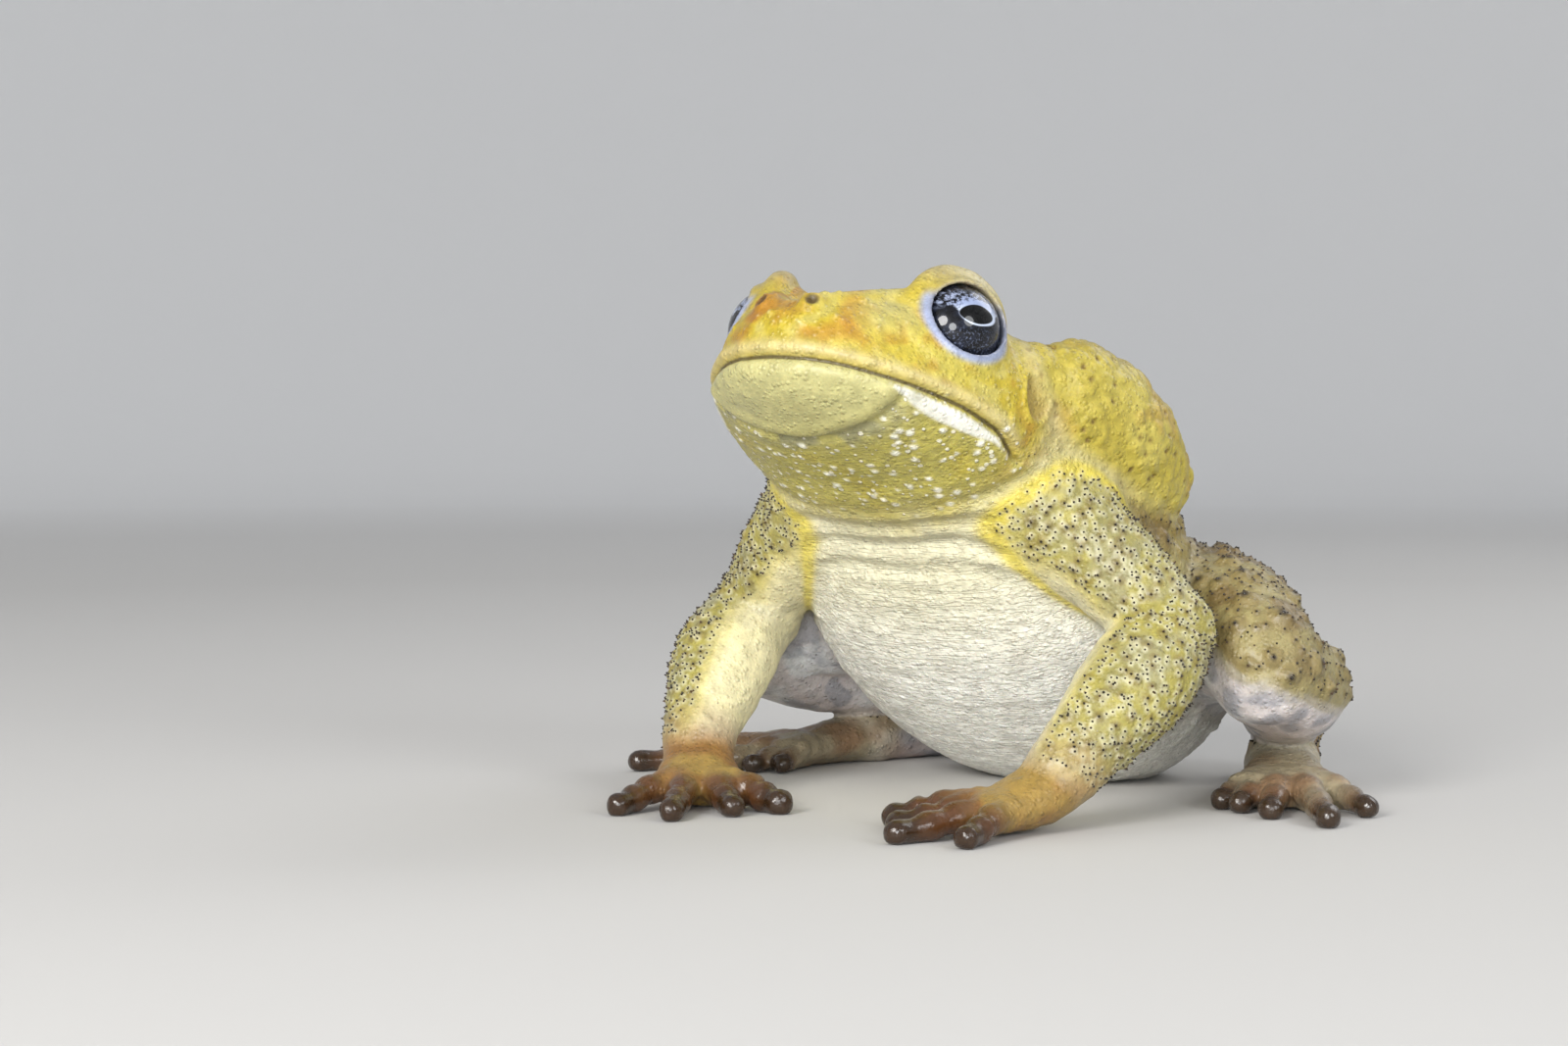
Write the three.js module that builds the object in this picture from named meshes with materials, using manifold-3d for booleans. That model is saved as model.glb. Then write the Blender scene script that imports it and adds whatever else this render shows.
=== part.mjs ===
// Cane toad, life size, sitting at rest with its chest raised on its arms and its hind legs folded.
// Millimetres. The toad faces -Y, its left side is +X and up is +Z. The origin is on the floor, in the
// flat that the rump rests on.
import * as THREE from "three";
import { mergeVertices } from "three/addons/utils/BufferGeometryUtils.js";
import Module from "manifold-3d";

const wasm = await Module();
wasm.setup();

// Driving sizes
const GAP = 0.3; // left between pieces that touch
const FAR = 200; // past the whole animal
const HEAD_PITCH = 16; // degrees that the snout points up
const HEAD_ORIGIN = { y: -54, z: 54 }; // midline of the back of the skull, level with the mouth
const EYE_RADIUS = 6.5;
const EYE_CENTRE = { forward: 15.5, out: 15.4, up: 11 };
const EYE_LOOKS = { forward: 0.46, out: 0.86, up: 0.2 };
const LID_THICKNESS = 1.2;
const EYE_OPENING = { ahead: 6, above: 5.3 };
const LIP_RADIUS = 1.35;
const NOSTRIL = { forward: 33.6, out: 3.6, radius: 1 };
const EAR = { forward: 4.8, out: 22.2, up: 4.2, halfWidth: 2.7, halfHeight: 3.4, thickness: 2.4 };
const PALM_LENGTH = 13;
const SOLE_LENGTH = 17;
const WEB_THICKNESS = 0.9;

// Stations of the trunk from the vent to inside the head. The back and the belly are points of the side view.
// back y, back z, belly y, belly z, half width, level of the widest place, squareness above it, below it
const TRUNK = [
  [17.5, 10, 16, 5, 4, 0.5, 2, 2],
  [13.8, 19.5, 11, 1, 12, 0.5, 2, 2],
  [8, 30, 3, -1.5, 20.5, 0.47, 2.1, 2.1],
  [-2, 40.5, -8, -1.5, 27, 0.45, 2.2, 2.2],
  [-13.5, 49, -20, 1.5, 30.5, 0.43, 2.2, 2.2],
  [-25, 56.5, -32, 8.5, 31, 0.43, 2.2, 2.2],
  [-36, 62.8, -43, 18, 28.5, 0.45, 2.2, 2.2],
  [-45, 67.3, -51, 29, 25, 0.48, 2.2, 2.2],
  [-52, 69.5, -57, 39, 22.5, 0.5, 2.2, 2.2],
  [-58, 70, -64, 46, 20, 0.5, 2.2, 2.2],
];

// Stations of the head from inside the neck to the snout, in the head's own forward and up.
// top forward, top up, throat forward, throat up, half width, level, squareness above, below
const HEAD = [
  [-8, 14, -5, -11, 18, 0.5, 2.1, 2],
  [0, 15.4, 0, -12.4, 22.8, 0.46, 2.3, 2],
  [7, 15.6, 7, -11.6, 23.6, 0.44, 2.5, 2],
  [14, 15.2, 14, -10.2, 22.4, 0.43, 2.7, 2],
  [20, 14.4, 20, -8.6, 20, 0.42, 2.8, 2],
  [25, 13.4, 25.5, -7, 17.2, 0.41, 2.8, 2],
  [29.5, 11.7, 30, -5.4, 13.6, 0.4, 2.6, 2.1],
  [33.2, 10, 33.5, -3.8, 9.8, 0.41, 2.3, 2.2],
  [35.8, 7.7, 35.8, -2, 5.6, 0.43, 2.1, 2.2],
];
const SNOUT_TIP = { forward: 36.8, up: 3 };

// The line of the mouth and, behind its corner, the cut that frees the lower jaw: forward, up.
const MOUTH = [
  [44, 1.4],
  [34, 0.9],
  [26, 0.1],
  [18, -0.9],
  [11, -2.4],
  [5.5, -5],
  [1, -7.4],
  [-3, -9.6],
];
const NECK_CUT = [
  [-3, 30],
  [-3, -30],
];

// Limbs of the left side, each a path with round ends: x, y, z, half width, half height.
const UPPER_ARM = [
  [16, -49, 46, 8, 8],
  [24, -46, 39.5, 7.6, 7.6],
  [31, -43, 32.5, 6.9, 6.9],
  [35.6, -41, 26.4, 6.4, 6.4],
];
const FOREARM = [
  [36, -42, 25.6, 6.6, 6.6],
  [36, -48, 21, 8, 7.6],
  [34, -55.5, 14.8, 7, 6.8],
  [31.6, -62, 9, 5, 5],
];
const THIGH = [
  [11, 3, 21, 12.5, 12.5],
  [22, -6, 24, 13.4, 13],
  [33.5, -17, 25.2, 11, 10.8],
  [43, -26.5, 23, 8.2, 8.2],
];
const SHANK = [
  [44.6, -27.5, 20, 8.2, 8],
  [43.6, -18, 17.2, 8.8, 8],
  [38.5, -8, 14, 7.6, 6.8],
  [32, 5, 9.6, 5.4, 5],
  [28.4, 12.5, 7.2, 5, 4.8],
];
const TARSUS = [
  [28.6, 13.4, 5.6, 5, 4.9],
  [32.4, 4, 4.6, 4.8, 4.5],
  [37.4, -7, 4.2, 5.2, 4.2],
];
// The gland behind the ear, over the shoulder
const PAROTOID = [
  [20.4, -52, 62, 4.2, 5.6],
  [22.6, -46.5, 60, 5.8, 8.4],
  [24.6, -38.5, 56, 6.2, 9.4],
  [26.4, -30, 50.6, 5.4, 8],
  [27, -24, 46.6, 3.6, 5],
];

// Digits: offset across the root towards the midline, angle towards the midline, length, root radius
const FINGERS = [
  [4.9, 40, 10.5, 2.6],
  [2, 15, 11.5, 2.3],
  [-1.6, -7, 16, 2.3],
  [-4.8, -34, 11.5, 2.2],
];
const TOES = [
  [5.6, 32, 8.5, 2],
  [3.6, 20, 12, 2.1],
  [1.2, 8.5, 17.5, 2.2],
  [-1.6, -4, 26, 2.3],
  [-4.6, -20, 15.5, 2.1],
];
const WEB_SHARE = 0.5; // of the shorter toe, that the web reaches
const NAIL_SHARE = 0.74; // of a digit's root radius, at its tip

// The two sides of the animal: which way is out, the turn of the hand towards the midline and that of the
// foot outwards.
const SIDES = [
  { name: "left", out: 1, handTurn: 30, footTurn: 30 },
  { name: "right", out: -1, handTurn: 36, footTurn: 27 },
];

const SKIN = { yellow: 0xc9ad35, olive: 0x8f8640, cream: 0xd9d2b4, brown: 0x4a2c18 };

function material(colour, roughness = 0.6) {
  return new THREE.MeshStandardMaterial({ color: colour, roughness, metalness: 0 });
}

// Smooth blend of a table's rows at share t of the way from the first row to the last.
function rowAt(rows, t) {
  const last = rows.length - 1;
  const place = THREE.MathUtils.clamp(t, 0, 1) * last;
  const i = Math.min(Math.floor(place), last - 1);
  const f = place - i;
  const [a, b, c, d] = [i - 1, i, i + 1, i + 2].map((k) => rows[THREE.MathUtils.clamp(k, 0, last)]);
  return b.map((_, j) => {
    const slope = (c[j] - a[j]) / 2;
    const next = (d[j] - b[j]) / 2;
    const rise = c[j] - b[j];
    return b[j] + f * (slope + f * (3 * rise - 2 * slope - next + f * (slope + next - 2 * rise)));
  });
}

// A point of a rounded section: its place across, and its share of the way from the underside to the top.
function sectionPlace(angle, halfWidth, level, squareAbove, squareBelow) {
  const c = Math.cos(angle);
  const s = Math.sin(angle);
  const power = 2 / (s > 0 ? squareAbove : squareBelow);
  const rise = Math.abs(s) ** power;
  return {
    across: halfWidth * Math.sign(c) * Math.abs(c) ** power,
    share: s > 0 ? level + (1 - level) * rise : level * (1 - rise),
  };
}

function trunkPoint(t, angle) {
  const [yBack, zBack, yBelly, zBelly, ...shape] = rowAt(TRUNK, t);
  const { across, share } = sectionPlace(angle, ...shape);
  return new THREE.Vector3(
    across,
    THREE.MathUtils.lerp(yBelly, yBack, share),
    THREE.MathUtils.lerp(zBelly, zBack, share),
  );
}

// A place given by the head's own forward, out and up
function headPlace(forward, out, up) {
  const pitch = THREE.MathUtils.degToRad(HEAD_PITCH);
  return new THREE.Vector3(
    out,
    HEAD_ORIGIN.y - forward * Math.cos(pitch) + up * Math.sin(pitch),
    HEAD_ORIGIN.z + forward * Math.sin(pitch) + up * Math.cos(pitch),
  );
}

function headPoint(t, angle) {
  const [topForward, topUp, throatForward, throatUp, ...shape] = rowAt(HEAD, t);
  const { across, share } = sectionPlace(angle, ...shape);
  return headPlace(
    THREE.MathUtils.lerp(throatForward, topForward, share),
    across,
    THREE.MathUtils.lerp(throatUp, topUp, share),
  );
}

// A closed skin over rings of points, with a point at each end. Its faces are turned to point out.
function skinOver(rings, first, last) {
  const sides = rings[0].length;
  const points = [first, ...rings.flat(), last];
  const end = points.length - 1;
  const at = (ring, k) => 1 + ring * sides + (k % sides);
  const faces = [];
  for (let k = 0; k < sides; k++) {
    faces.push([0, at(0, k + 1), at(0, k)]);
    faces.push([end, at(rings.length - 1, k), at(rings.length - 1, k + 1)]);
    for (let ring = 0; ring < rings.length - 1; ring++) {
      faces.push([at(ring, k), at(ring, k + 1), at(ring + 1, k + 1)]);
      faces.push([at(ring, k), at(ring + 1, k + 1), at(ring + 1, k)]);
    }
  }
  const volume = faces.reduce(
    (sum, [a, b, c]) => sum + points[a].dot(points[b].clone().cross(points[c])),
    0,
  );
  if (volume < 0) faces.forEach((face) => face.reverse());
  const geometry = new THREE.BufferGeometry().setFromPoints(points);
  return geometry.setIndex(faces.flat());
}

function ringOf(sides, pointAt) {
  return Array.from({ length: sides }, (_, k) => pointAt((2 * Math.PI * k) / sides));
}

function centreOf(ring) {
  return ring.reduce((sum, p) => sum.add(p), new THREE.Vector3()).divideScalar(ring.length);
}

// A skin through the sections that pointAt(t, angle) gives
function sectionSkin(pointAt, steps, sides, lastPoint) {
  const rings = Array.from({ length: steps + 1 }, (_, i) => ringOf(sides, (a) => pointAt(i / steps, a)));
  return skinOver(rings, centreOf(rings[0]), lastPoint ?? centreOf(rings[steps]));
}

const UPWARD = new THREE.Vector3(0, 0, 1);

// The frame of a path at share t: its place, its direction, and its section's two half axes
function limbFrame(rows, t, reference = UPWARD) {
  const [x, y, z, halfWidth, halfHeight] = rowAt(rows, t);
  const step = 0.01;
  const ahead = new THREE.Vector3(...rowAt(rows, Math.min(1, t + step)));
  const behind = new THREE.Vector3(...rowAt(rows, Math.max(0, t - step)));
  const along = ahead.sub(behind).normalize();
  const across = reference.clone().cross(along).normalize();
  const up = along.clone().cross(across);
  return { place: new THREE.Vector3(x, y, z), along, across, up, halfWidth, halfHeight };
}

// A limb along a path, with round ends
function limb(rows, steps = 7, sides = 12, capRings = 2, reference = UPWARD) {
  const ringAt = (t, shift, scale) => {
    const f = limbFrame(rows, t, reference);
    const centre = f.place.clone().addScaledVector(f.along, shift * Math.min(f.halfWidth, f.halfHeight));
    return ringOf(sides, (a) =>
      centre
        .clone()
        .addScaledVector(f.across, f.halfWidth * scale * Math.cos(a))
        .addScaledVector(f.up, f.halfHeight * scale * Math.sin(a)),
    );
  };
  const capAngle = (i) => (Math.PI / 2) * (i / (capRings + 1));
  const rings = [];
  for (let i = capRings; i > 0; i--) rings.push(ringAt(0, -Math.sin(capAngle(i)), Math.cos(capAngle(i))));
  for (let i = 0; i <= steps; i++) rings.push(ringAt(i / steps, 0, 1));
  for (let i = 1; i <= capRings; i++) rings.push(ringAt(1, Math.sin(capAngle(i)), Math.cos(capAngle(i))));
  return skinOver(rings, centreOf(ringAt(0, -1, 1)), centreOf(ringAt(1, 1, 1)));
}

// The bare surface, with one vertex at each place
function bareSurface(geometry) {
  const bare = geometry.clone();
  bare.deleteAttribute("normal");
  bare.deleteAttribute("uv");
  return mergeVertices(bare);
}

// Every vertex moved out along its normal
function grown(geometry, distance = GAP) {
  const out = bareSurface(geometry);
  out.computeVertexNormals();
  const place = out.attributes.position;
  const normal = out.attributes.normal;
  for (let i = 0; i < place.count; i++) {
    place.setXYZ(
      i,
      place.getX(i) + normal.getX(i) * distance,
      place.getY(i) + normal.getY(i) * distance,
      place.getZ(i) + normal.getZ(i) * distance,
    );
  }
  return out;
}

function mirrored(geometry) {
  const out = bareSurface(geometry).applyMatrix4(new THREE.Matrix4().makeScale(-1, 1, 1));
  const index = Array.from(out.index.array);
  for (let i = 0; i < index.length; i += 3) [index[i + 1], index[i + 2]] = [index[i + 2], index[i + 1]];
  return out.setIndex(index);
}

function onSide(side, geometry) {
  return side.out > 0 ? geometry : mirrored(geometry);
}

function toSolid(geometry) {
  const surface = bareSurface(geometry);
  const mesh = new wasm.Mesh({
    numProp: 3,
    vertProperties: new Float32Array(surface.attributes.position.array),
    triVerts: new Uint32Array(surface.index.array),
  });
  mesh.merge();
  return new wasm.Manifold(mesh);
}

function toGeometry(solid) {
  const mesh = solid.getMesh();
  const geometry = new THREE.BufferGeometry();
  geometry.setAttribute("position", new THREE.BufferAttribute(new Float32Array(mesh.vertProperties), 3));
  geometry.setIndex(new THREE.BufferAttribute(new Uint32Array(mesh.triVerts), 1));
  return geometry;
}

function joined(solids) {
  return solids.reduce((sum, solid) => sum.add(solid));
}

function cutBy(solid, tools) {
  return tools.reduce((rest, tool) => rest.subtract(tool), solid);
}

function largest(solid) {
  const pieces = solid.decompose();
  return pieces.reduce((best, piece) => (piece.volume() > best.volume() ? piece : best));
}

// A thin ribbon across the whole animal over a line of the side view, which parts what it passes through
function blade(line) {
  const points = line.map(([y, z]) => new THREE.Vector2(y, z));
  const normals = points.map((_, i) => {
    const run = points[Math.min(i + 1, points.length - 1)].clone().sub(points[Math.max(i - 1, 0)]);
    return new THREE.Vector2(-run.y, run.x).normalize().multiplyScalar(GAP / 2);
  });
  const upper = points.map((p, i) => p.clone().add(normals[i]));
  const lower = points.map((p, i) => p.clone().sub(normals[i])).reverse();
  const ribbon = new THREE.ExtrudeGeometry(new THREE.Shape([...upper, ...lower]), {
    depth: 2 * FAR,
    bevelEnabled: false,
  });
  const turned = new THREE.Matrix4().set(0, 0, 1, -FAR, 1, 0, 0, 0, 0, 1, 0, 0, 0, 0, 0, 1);
  return toSolid(ribbon.applyMatrix4(turned));
}

function headLine(line) {
  return line.map(([forward, up]) => {
    const place = headPlace(forward, 0, up);
    return [place.y, place.z];
  });
}

// The eye's centre, the way that it looks, and two directions across it: towards the snout and up
function eyeFrame() {
  const centre = headPlace(EYE_CENTRE.forward, EYE_CENTRE.out, EYE_CENTRE.up);
  const origin = headPlace(0, 0, 0);
  const looks = headPlace(EYE_LOOKS.forward, EYE_LOOKS.out, EYE_LOOKS.up).sub(origin).normalize();
  const ahead = headPlace(1, 0, 0).sub(origin);
  ahead.addScaledVector(looks, -ahead.dot(looks)).normalize();
  const above = ahead.clone().cross(looks);
  if (above.z < 0) above.negate();
  return { centre, looks, ahead, above };
}

// The upper lid: a roll over the eye, thickest at its middle
function brow() {
  const { centre, looks, ahead, above } = eyeFrame();
  const count = 6;
  const [first, last, inset, thin, thick] = [6, 174, -0.6, 0.8, 1.9];
  const rows = Array.from({ length: count }, (_, i) => {
    const share = i / (count - 1);
    const angle = THREE.MathUtils.degToRad(THREE.MathUtils.lerp(first, last, share));
    const place = centre
      .clone()
      .addScaledVector(looks, -inset)
      .addScaledVector(ahead, (EYE_RADIUS + 0.4) * Math.cos(angle))
      .addScaledVector(above, (EYE_RADIUS + 0.2) * Math.sin(angle));
    const radius = THREE.MathUtils.lerp(thin, thick, Math.sin(Math.PI * share));
    return [...place.toArray(), radius, radius];
  });
  return limb(rows, 6, 6, 1, looks);
}

// The gap between the lids: an oval bar along the way that the eye looks
function lidOpening() {
  const { centre, looks, ahead, above } = eyeFrame();
  const bar = new THREE.CylinderGeometry(1.25, 0.95, 2 * EYE_RADIUS, 14);
  const turned = new THREE.Matrix4().makeBasis(
    ahead.clone().multiplyScalar(EYE_OPENING.ahead),
    looks,
    above.clone().multiplyScalar(EYE_OPENING.above),
  );
  const middle = centre.clone().addScaledVector(looks, EYE_RADIUS * 1.35);
  return bar.applyMatrix4(turned).translate(...middle.toArray());
}

function ball(centre, radius, across = 16, down = 12) {
  return new THREE.SphereGeometry(radius, across, down).translate(...centre.toArray());
}

// The stations' share at which the crown of the head is this far forward
function shareForward(forward) {
  let [low, high] = [0, 1];
  for (let i = 0; i < 24; i++) {
    const middle = (low + high) / 2;
    if (rowAt(HEAD, middle)[0] < forward) low = middle;
    else high = middle;
  }
  return low;
}

// A place on the crown of the head, raised by a little
function crownPlace(forward, out, raise = 0) {
  const t = shareForward(forward);
  const [, , , , halfWidth, , square] = rowAt(HEAD, t);
  const angle = Math.acos(Math.min(1, out / halfWidth) ** (square / 2));
  return headPoint(t, angle).add(headPlace(0, 0, raise)).sub(headPlace(0, 0, 0));
}

// The bony ridges: from the nostril to the eye, along the inner edge of the upper lid, and down behind it
function ridges() {
  const canthal = [
    [33, 3.8, 1],
    [28.5, 6.4, 1.5],
    [24.5, 9, 1.7],
    [20.5, 11.4, 1.7],
  ];
  const postorbital = [
    [8.6, 13, 1.4],
    [6, 18, 1.6],
    [4.4, 21.2, 1.6],
    [3, 22.9, 1.2],
  ];
  const sink = 0.1;
  return [canthal, postorbital].map((line) =>
    limb(
      line.map(([forward, out, radius]) => [...crownPlace(forward, out, -sink).toArray(), radius, radius]),
      4,
      6,
      1,
    ),
  );
}

function mouthUp(forward) {
  const i = MOUTH.findIndex(([f], k) => k > 0 && forward >= f);
  const [[f0, u0], [f1, u1]] = [MOUTH[i - 1], MOUTH[i]];
  return THREE.MathUtils.lerp(u0, u1, (forward - f0) / (f1 - f0));
}

// The place on the side of the head where the line of the mouth crosses the section at share t
function mouthEdge(t) {
  let [low, high] = [-Math.PI / 2, Math.PI / 2];
  const origin = headPlace(0, 0, 0);
  const axes = [headPlace(1, 0, 0), headPlace(0, 0, 1)].map((end) => end.sub(origin));
  for (let i = 0; i < 24; i++) {
    const middle = (low + high) / 2;
    const [forward, up] = axes.map((axis) => headPoint(t, middle).sub(origin).dot(axis));
    if (up < mouthUp(forward)) low = middle;
    else high = middle;
  }
  return headPoint(t, low);
}

// The lips, as one roll round the snout that the mouth's cut parts in two
function lips() {
  const reach = 8;
  const cornerShare = 0.27;
  const inset = 0.55;
  const rows = [];
  for (let k = -reach; k <= reach; k++) {
    const share = Math.abs(k) / reach;
    const place =
      k === 0
        ? headPlace(SNOUT_TIP.forward - inset, 0, mouthUp(SNOUT_TIP.forward))
        : mouthEdge(THREE.MathUtils.lerp(1, cornerShare, share ** 1.2));
    place.x = Math.sign(k) * Math.max(0, place.x - inset);
    const radius = LIP_RADIUS * (1 - 0.3 * share);
    rows.push([...place.toArray(), radius, radius]);
  }
  return limb(rows, 18, 5, 1);
}

// The ear drum: an oval disc on the side of the head
function ear() {
  const disc = new THREE.CylinderGeometry(0.85, 1, EAR.thickness, 14);
  disc.scale(EAR.halfHeight, 1, EAR.halfWidth);
  disc.rotateZ(-Math.PI / 2);
  disc.translate(...headPlace(EAR.forward, EAR.out, EAR.up).toArray());
  return disc;
}

// Warts: a low cone on a surface, sunk in so that it is this wide where it leaves the skin
function wart(place, normal, radius, height) {
  const sunk = 0.6;
  const stud = new THREE.ConeGeometry((radius * (height + sunk)) / height, height + sunk, 5);
  stud.translate(0, (height - sunk) / 2, 0);
  stud.applyQuaternion(new THREE.Quaternion().setFromUnitVectors(new THREE.Vector3(0, 1, 0), normal));
  return stud.translate(...place.toArray());
}

// The normal of a surface that pointAt(t, angle) gives, pointing away from its axis
function normalOf(pointAt, t, angle) {
  const step = 0.01;
  const alongT = pointAt(t + step, angle).sub(pointAt(t - step, angle));
  const round = pointAt(t, angle + step).sub(pointAt(t, angle - step));
  const normal = alongT.cross(round).normalize();
  const axis = pointAt(t, angle + Math.PI);
  return normal.dot(pointAt(t, angle).sub(axis)) < 0 ? normal.negate() : normal;
}

// Evenly scattered shares of two directions, the same on every run
function scatter(count, shift = 0) {
  return Array.from({ length: count }, (_, i) => ({
    first: (0.5 + (i + shift) * 0.7548776662) % 1,
    second: (0.5 + (i + shift) * 0.5698402910) % 1,
    size: (0.5 + (i + shift) * 0.6180339887) % 1,
  }));
}

// Whether a place on either side of the animal is free of a limb by a margin
function clearOf(place, rows, margin) {
  const samples = 12;
  return Array.from({ length: samples + 1 }, (_, i) => rowAt(rows, i / samples)).every(
    ([x, y, z, halfWidth]) => Math.hypot(Math.abs(place.x) - x, place.y - y, place.z - z) > halfWidth + margin,
  );
}

function backWarts() {
  const warts = scatter(72).map(({ first, second, size }) => {
    const t = THREE.MathUtils.lerp(0.1, 0.8, first);
    const angle = THREE.MathUtils.degToRad(THREE.MathUtils.lerp(8, 172, second));
    const radius = THREE.MathUtils.lerp(1.2, 2.1, size);
    return { place: trunkPoint(t, angle), normal: normalOf(trunkPoint, t, angle), radius };
  });
  const free = warts.filter(({ place, radius }) =>
    [THIGH, UPPER_ARM, PAROTOID].every((rows) => clearOf(place, rows, radius + 1)),
  );
  return free.map(({ place, normal, radius }) => wart(place, normal, radius, 0.55 * radius));
}

function limbWarts(rows, count, fromDegrees, toDegrees, shift) {
  const surface = (t, angle) => {
    const f = limbFrame(rows, t);
    return f.place
      .addScaledVector(f.across, f.halfWidth * Math.cos(angle))
      .addScaledVector(f.up, f.halfHeight * Math.sin(angle));
  };
  return scatter(count, shift).map(({ first, second, size }) => {
    const t = THREE.MathUtils.lerp(0.2, 0.92, first);
    const angle = THREE.MathUtils.degToRad(THREE.MathUtils.lerp(fromDegrees, toDegrees, second));
    const radius = THREE.MathUtils.lerp(0.9, 1.5, size);
    return wart(surface(t, angle), normalOf(surface, t, angle), radius, 0.5 * radius);
  });
}

// A digit from its root along the floor to a round tip, on a slight arch
function digitRows(root, direction, length, radius) {
  const shape = [
    [0, 3.2, 1],
    [0.3, 3, 0.92],
    [0.62, 2.2, 0.84],
    [1, 1.4, NAIL_SHARE],
  ];
  return shape.map(([share, height, thickness]) => [
    root.x + direction.x * length * share,
    root.y + direction.y * length * share,
    height,
    radius * thickness,
    radius * thickness,
  ]);
}

// The floor direction that is turned from straight ahead, by degrees towards +X
function heading(degrees) {
  const angle = THREE.MathUtils.degToRad(degrees);
  return new THREE.Vector2(Math.sin(angle), -Math.cos(angle));
}

// A fan of digits: each root is beside the end of the palm or sole
function digitFan(digits, start, turn, rootShare, length) {
  const ahead = heading(turn);
  const towardsMidline = heading(turn - 90);
  return digits.map(([offset, angle, digitLength, radius]) => {
    const root = start
      .clone()
      .addScaledVector(ahead, length * rootShare)
      .addScaledVector(towardsMidline, offset);
    const direction = heading(turn - angle);
    return { root, direction, length: digitLength, radius, rows: digitRows(root, direction, digitLength, radius) };
  });
}

function hand(side) {
  const [x, y, z] = FOREARM[FOREARM.length - 1];
  const wrist = new THREE.Vector2(x, y);
  const ahead = heading(-side.handTurn);
  const palm = [
    [0, z - 0.6, 4.7, 4.6],
    [0.3, 5.4, 5.4, 4.3],
    [0.65, 3.8, 6.3, 3.5],
    [1, 3, 6.3, 2.7],
  ].map(([share, height, halfWidth, halfHeight]) => {
    const place = wrist.clone().addScaledVector(ahead, PALM_LENGTH * share);
    return [place.x, place.y, height, halfWidth, halfHeight];
  });
  const fan = digitFan(FINGERS, wrist, -side.handTurn, 0.95, PALM_LENGTH);
  return [limb(palm, 5, 11), ...fan.map((digit) => limb(digit.rows, 5, 7, 1))];
}

function foot(side) {
  const [x, y] = TARSUS[TARSUS.length - 1];
  const start = new THREE.Vector2(x, y);
  const ahead = heading(side.footTurn);
  const sole = [
    [0, 4.2, 5.2, 4.2],
    [0.35, 3.6, 6, 3.6],
    [0.7, 2.8, 6.6, 2.9],
    [1, 2.2, 6.6, 2.2],
  ].map(([share, height, halfWidth, halfHeight]) => {
    const place = start.clone().addScaledVector(ahead, SOLE_LENGTH * share);
    return [place.x, place.y, height, halfWidth, halfHeight];
  });
  const fan = digitFan(TOES, start, side.footTurn, 0.85, SOLE_LENGTH);
  const heelBump = start.clone().addScaledVector(heading(side.footTurn - 90), 5).addScaledVector(ahead, 3);
  return [
    limb(sole, 5, 11),
    ...fan.map((digit) => limb(digit.rows, 4, 7, 1)),
    ...fan.slice(1).map((digit, i) => web(fan[i], digit)),
    ball(new THREE.Vector3(heelBump.x, heelBump.y, 2), 2.2, 7, 5),
  ];
}

// The web between two toes: a thin plate with a hollow front edge
function web(a, b) {
  const reach = WEB_SHARE * Math.min(a.length, b.length) * 1.3;
  const onToe = (toe, distance) =>
    toe.root.clone().addScaledVector(toe.direction, Math.min(distance, toe.length * 0.9));
  const middle = onToe(a, reach * 0.72).lerp(onToe(b, reach * 0.72), 0.5);
  const rim = [a.root, onToe(a, reach), middle, onToe(b, reach), b.root];
  const plate = new THREE.ExtrudeGeometry(new THREE.Shape(rim), { depth: WEB_THICKNESS, bevelEnabled: false });
  return plate.translate(0, 0, 0.5);
}

const group = new THREE.Group();
function addNode(name, solid, paint) {
  const mesh = new THREE.Mesh(toGeometry(largest(solid)), paint);
  mesh.name = name;
  group.add(mesh);
}

const room = toSolid(new THREE.BoxGeometry(2 * FAR, 2 * FAR, FAR).translate(0, 0, FAR / 2));

// The trunk and head as one body, with the glands, eyes and ears let into it, then parted by thin cuts
const trunk = sectionSkin(trunkPoint, 20, 28);
const skull = sectionSkin(headPoint, 14, 26, headPlace(SNOUT_TIP.forward, 0, SNOUT_TIP.up));
const eye = eyeFrame();
const eyeball = ball(eye.centre, EYE_RADIUS, 14, 10);
const hood = ball(eye.centre.clone().addScaledVector(eye.looks, -0.4), EYE_RADIUS + LID_THICKNESS, 13, 9);
const nostril = ball(crownPlace(NOSTRIL.forward, NOSTRIL.out), NOSTRIL.radius, 7, 5);
const gland = limb(PAROTOID, 8, 12);
const bothSides = (geometry) => [geometry, mirrored(geometry)];
const headExtras = [hood, brow(), ...ridges()].flatMap(bothSides);
const letIn = [eyeball, gland, ear()].flatMap(bothSides);

const body = cutBy(
  joined([trunk, skull, lips(), ...headExtras, ...backWarts()].map(toSolid)),
  [...letIn.map((g) => toSolid(grown(g))), ...[nostril, lidOpening()].flatMap(bothSides).map(toSolid)],
).intersect(room);
const parted = cutBy(body, [blade(headLine(MOUTH)), blade(headLine(NECK_CUT))]).decompose();
const [torso, head, jaw] = parted.sort((a, b) => b.volume() - a.volume());
addNode("torso", torso, material(SKIN.cream));
addNode("head", head, material(SKIN.yellow));
addNode("lower_jaw", jaw, material(SKIN.yellow));

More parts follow.
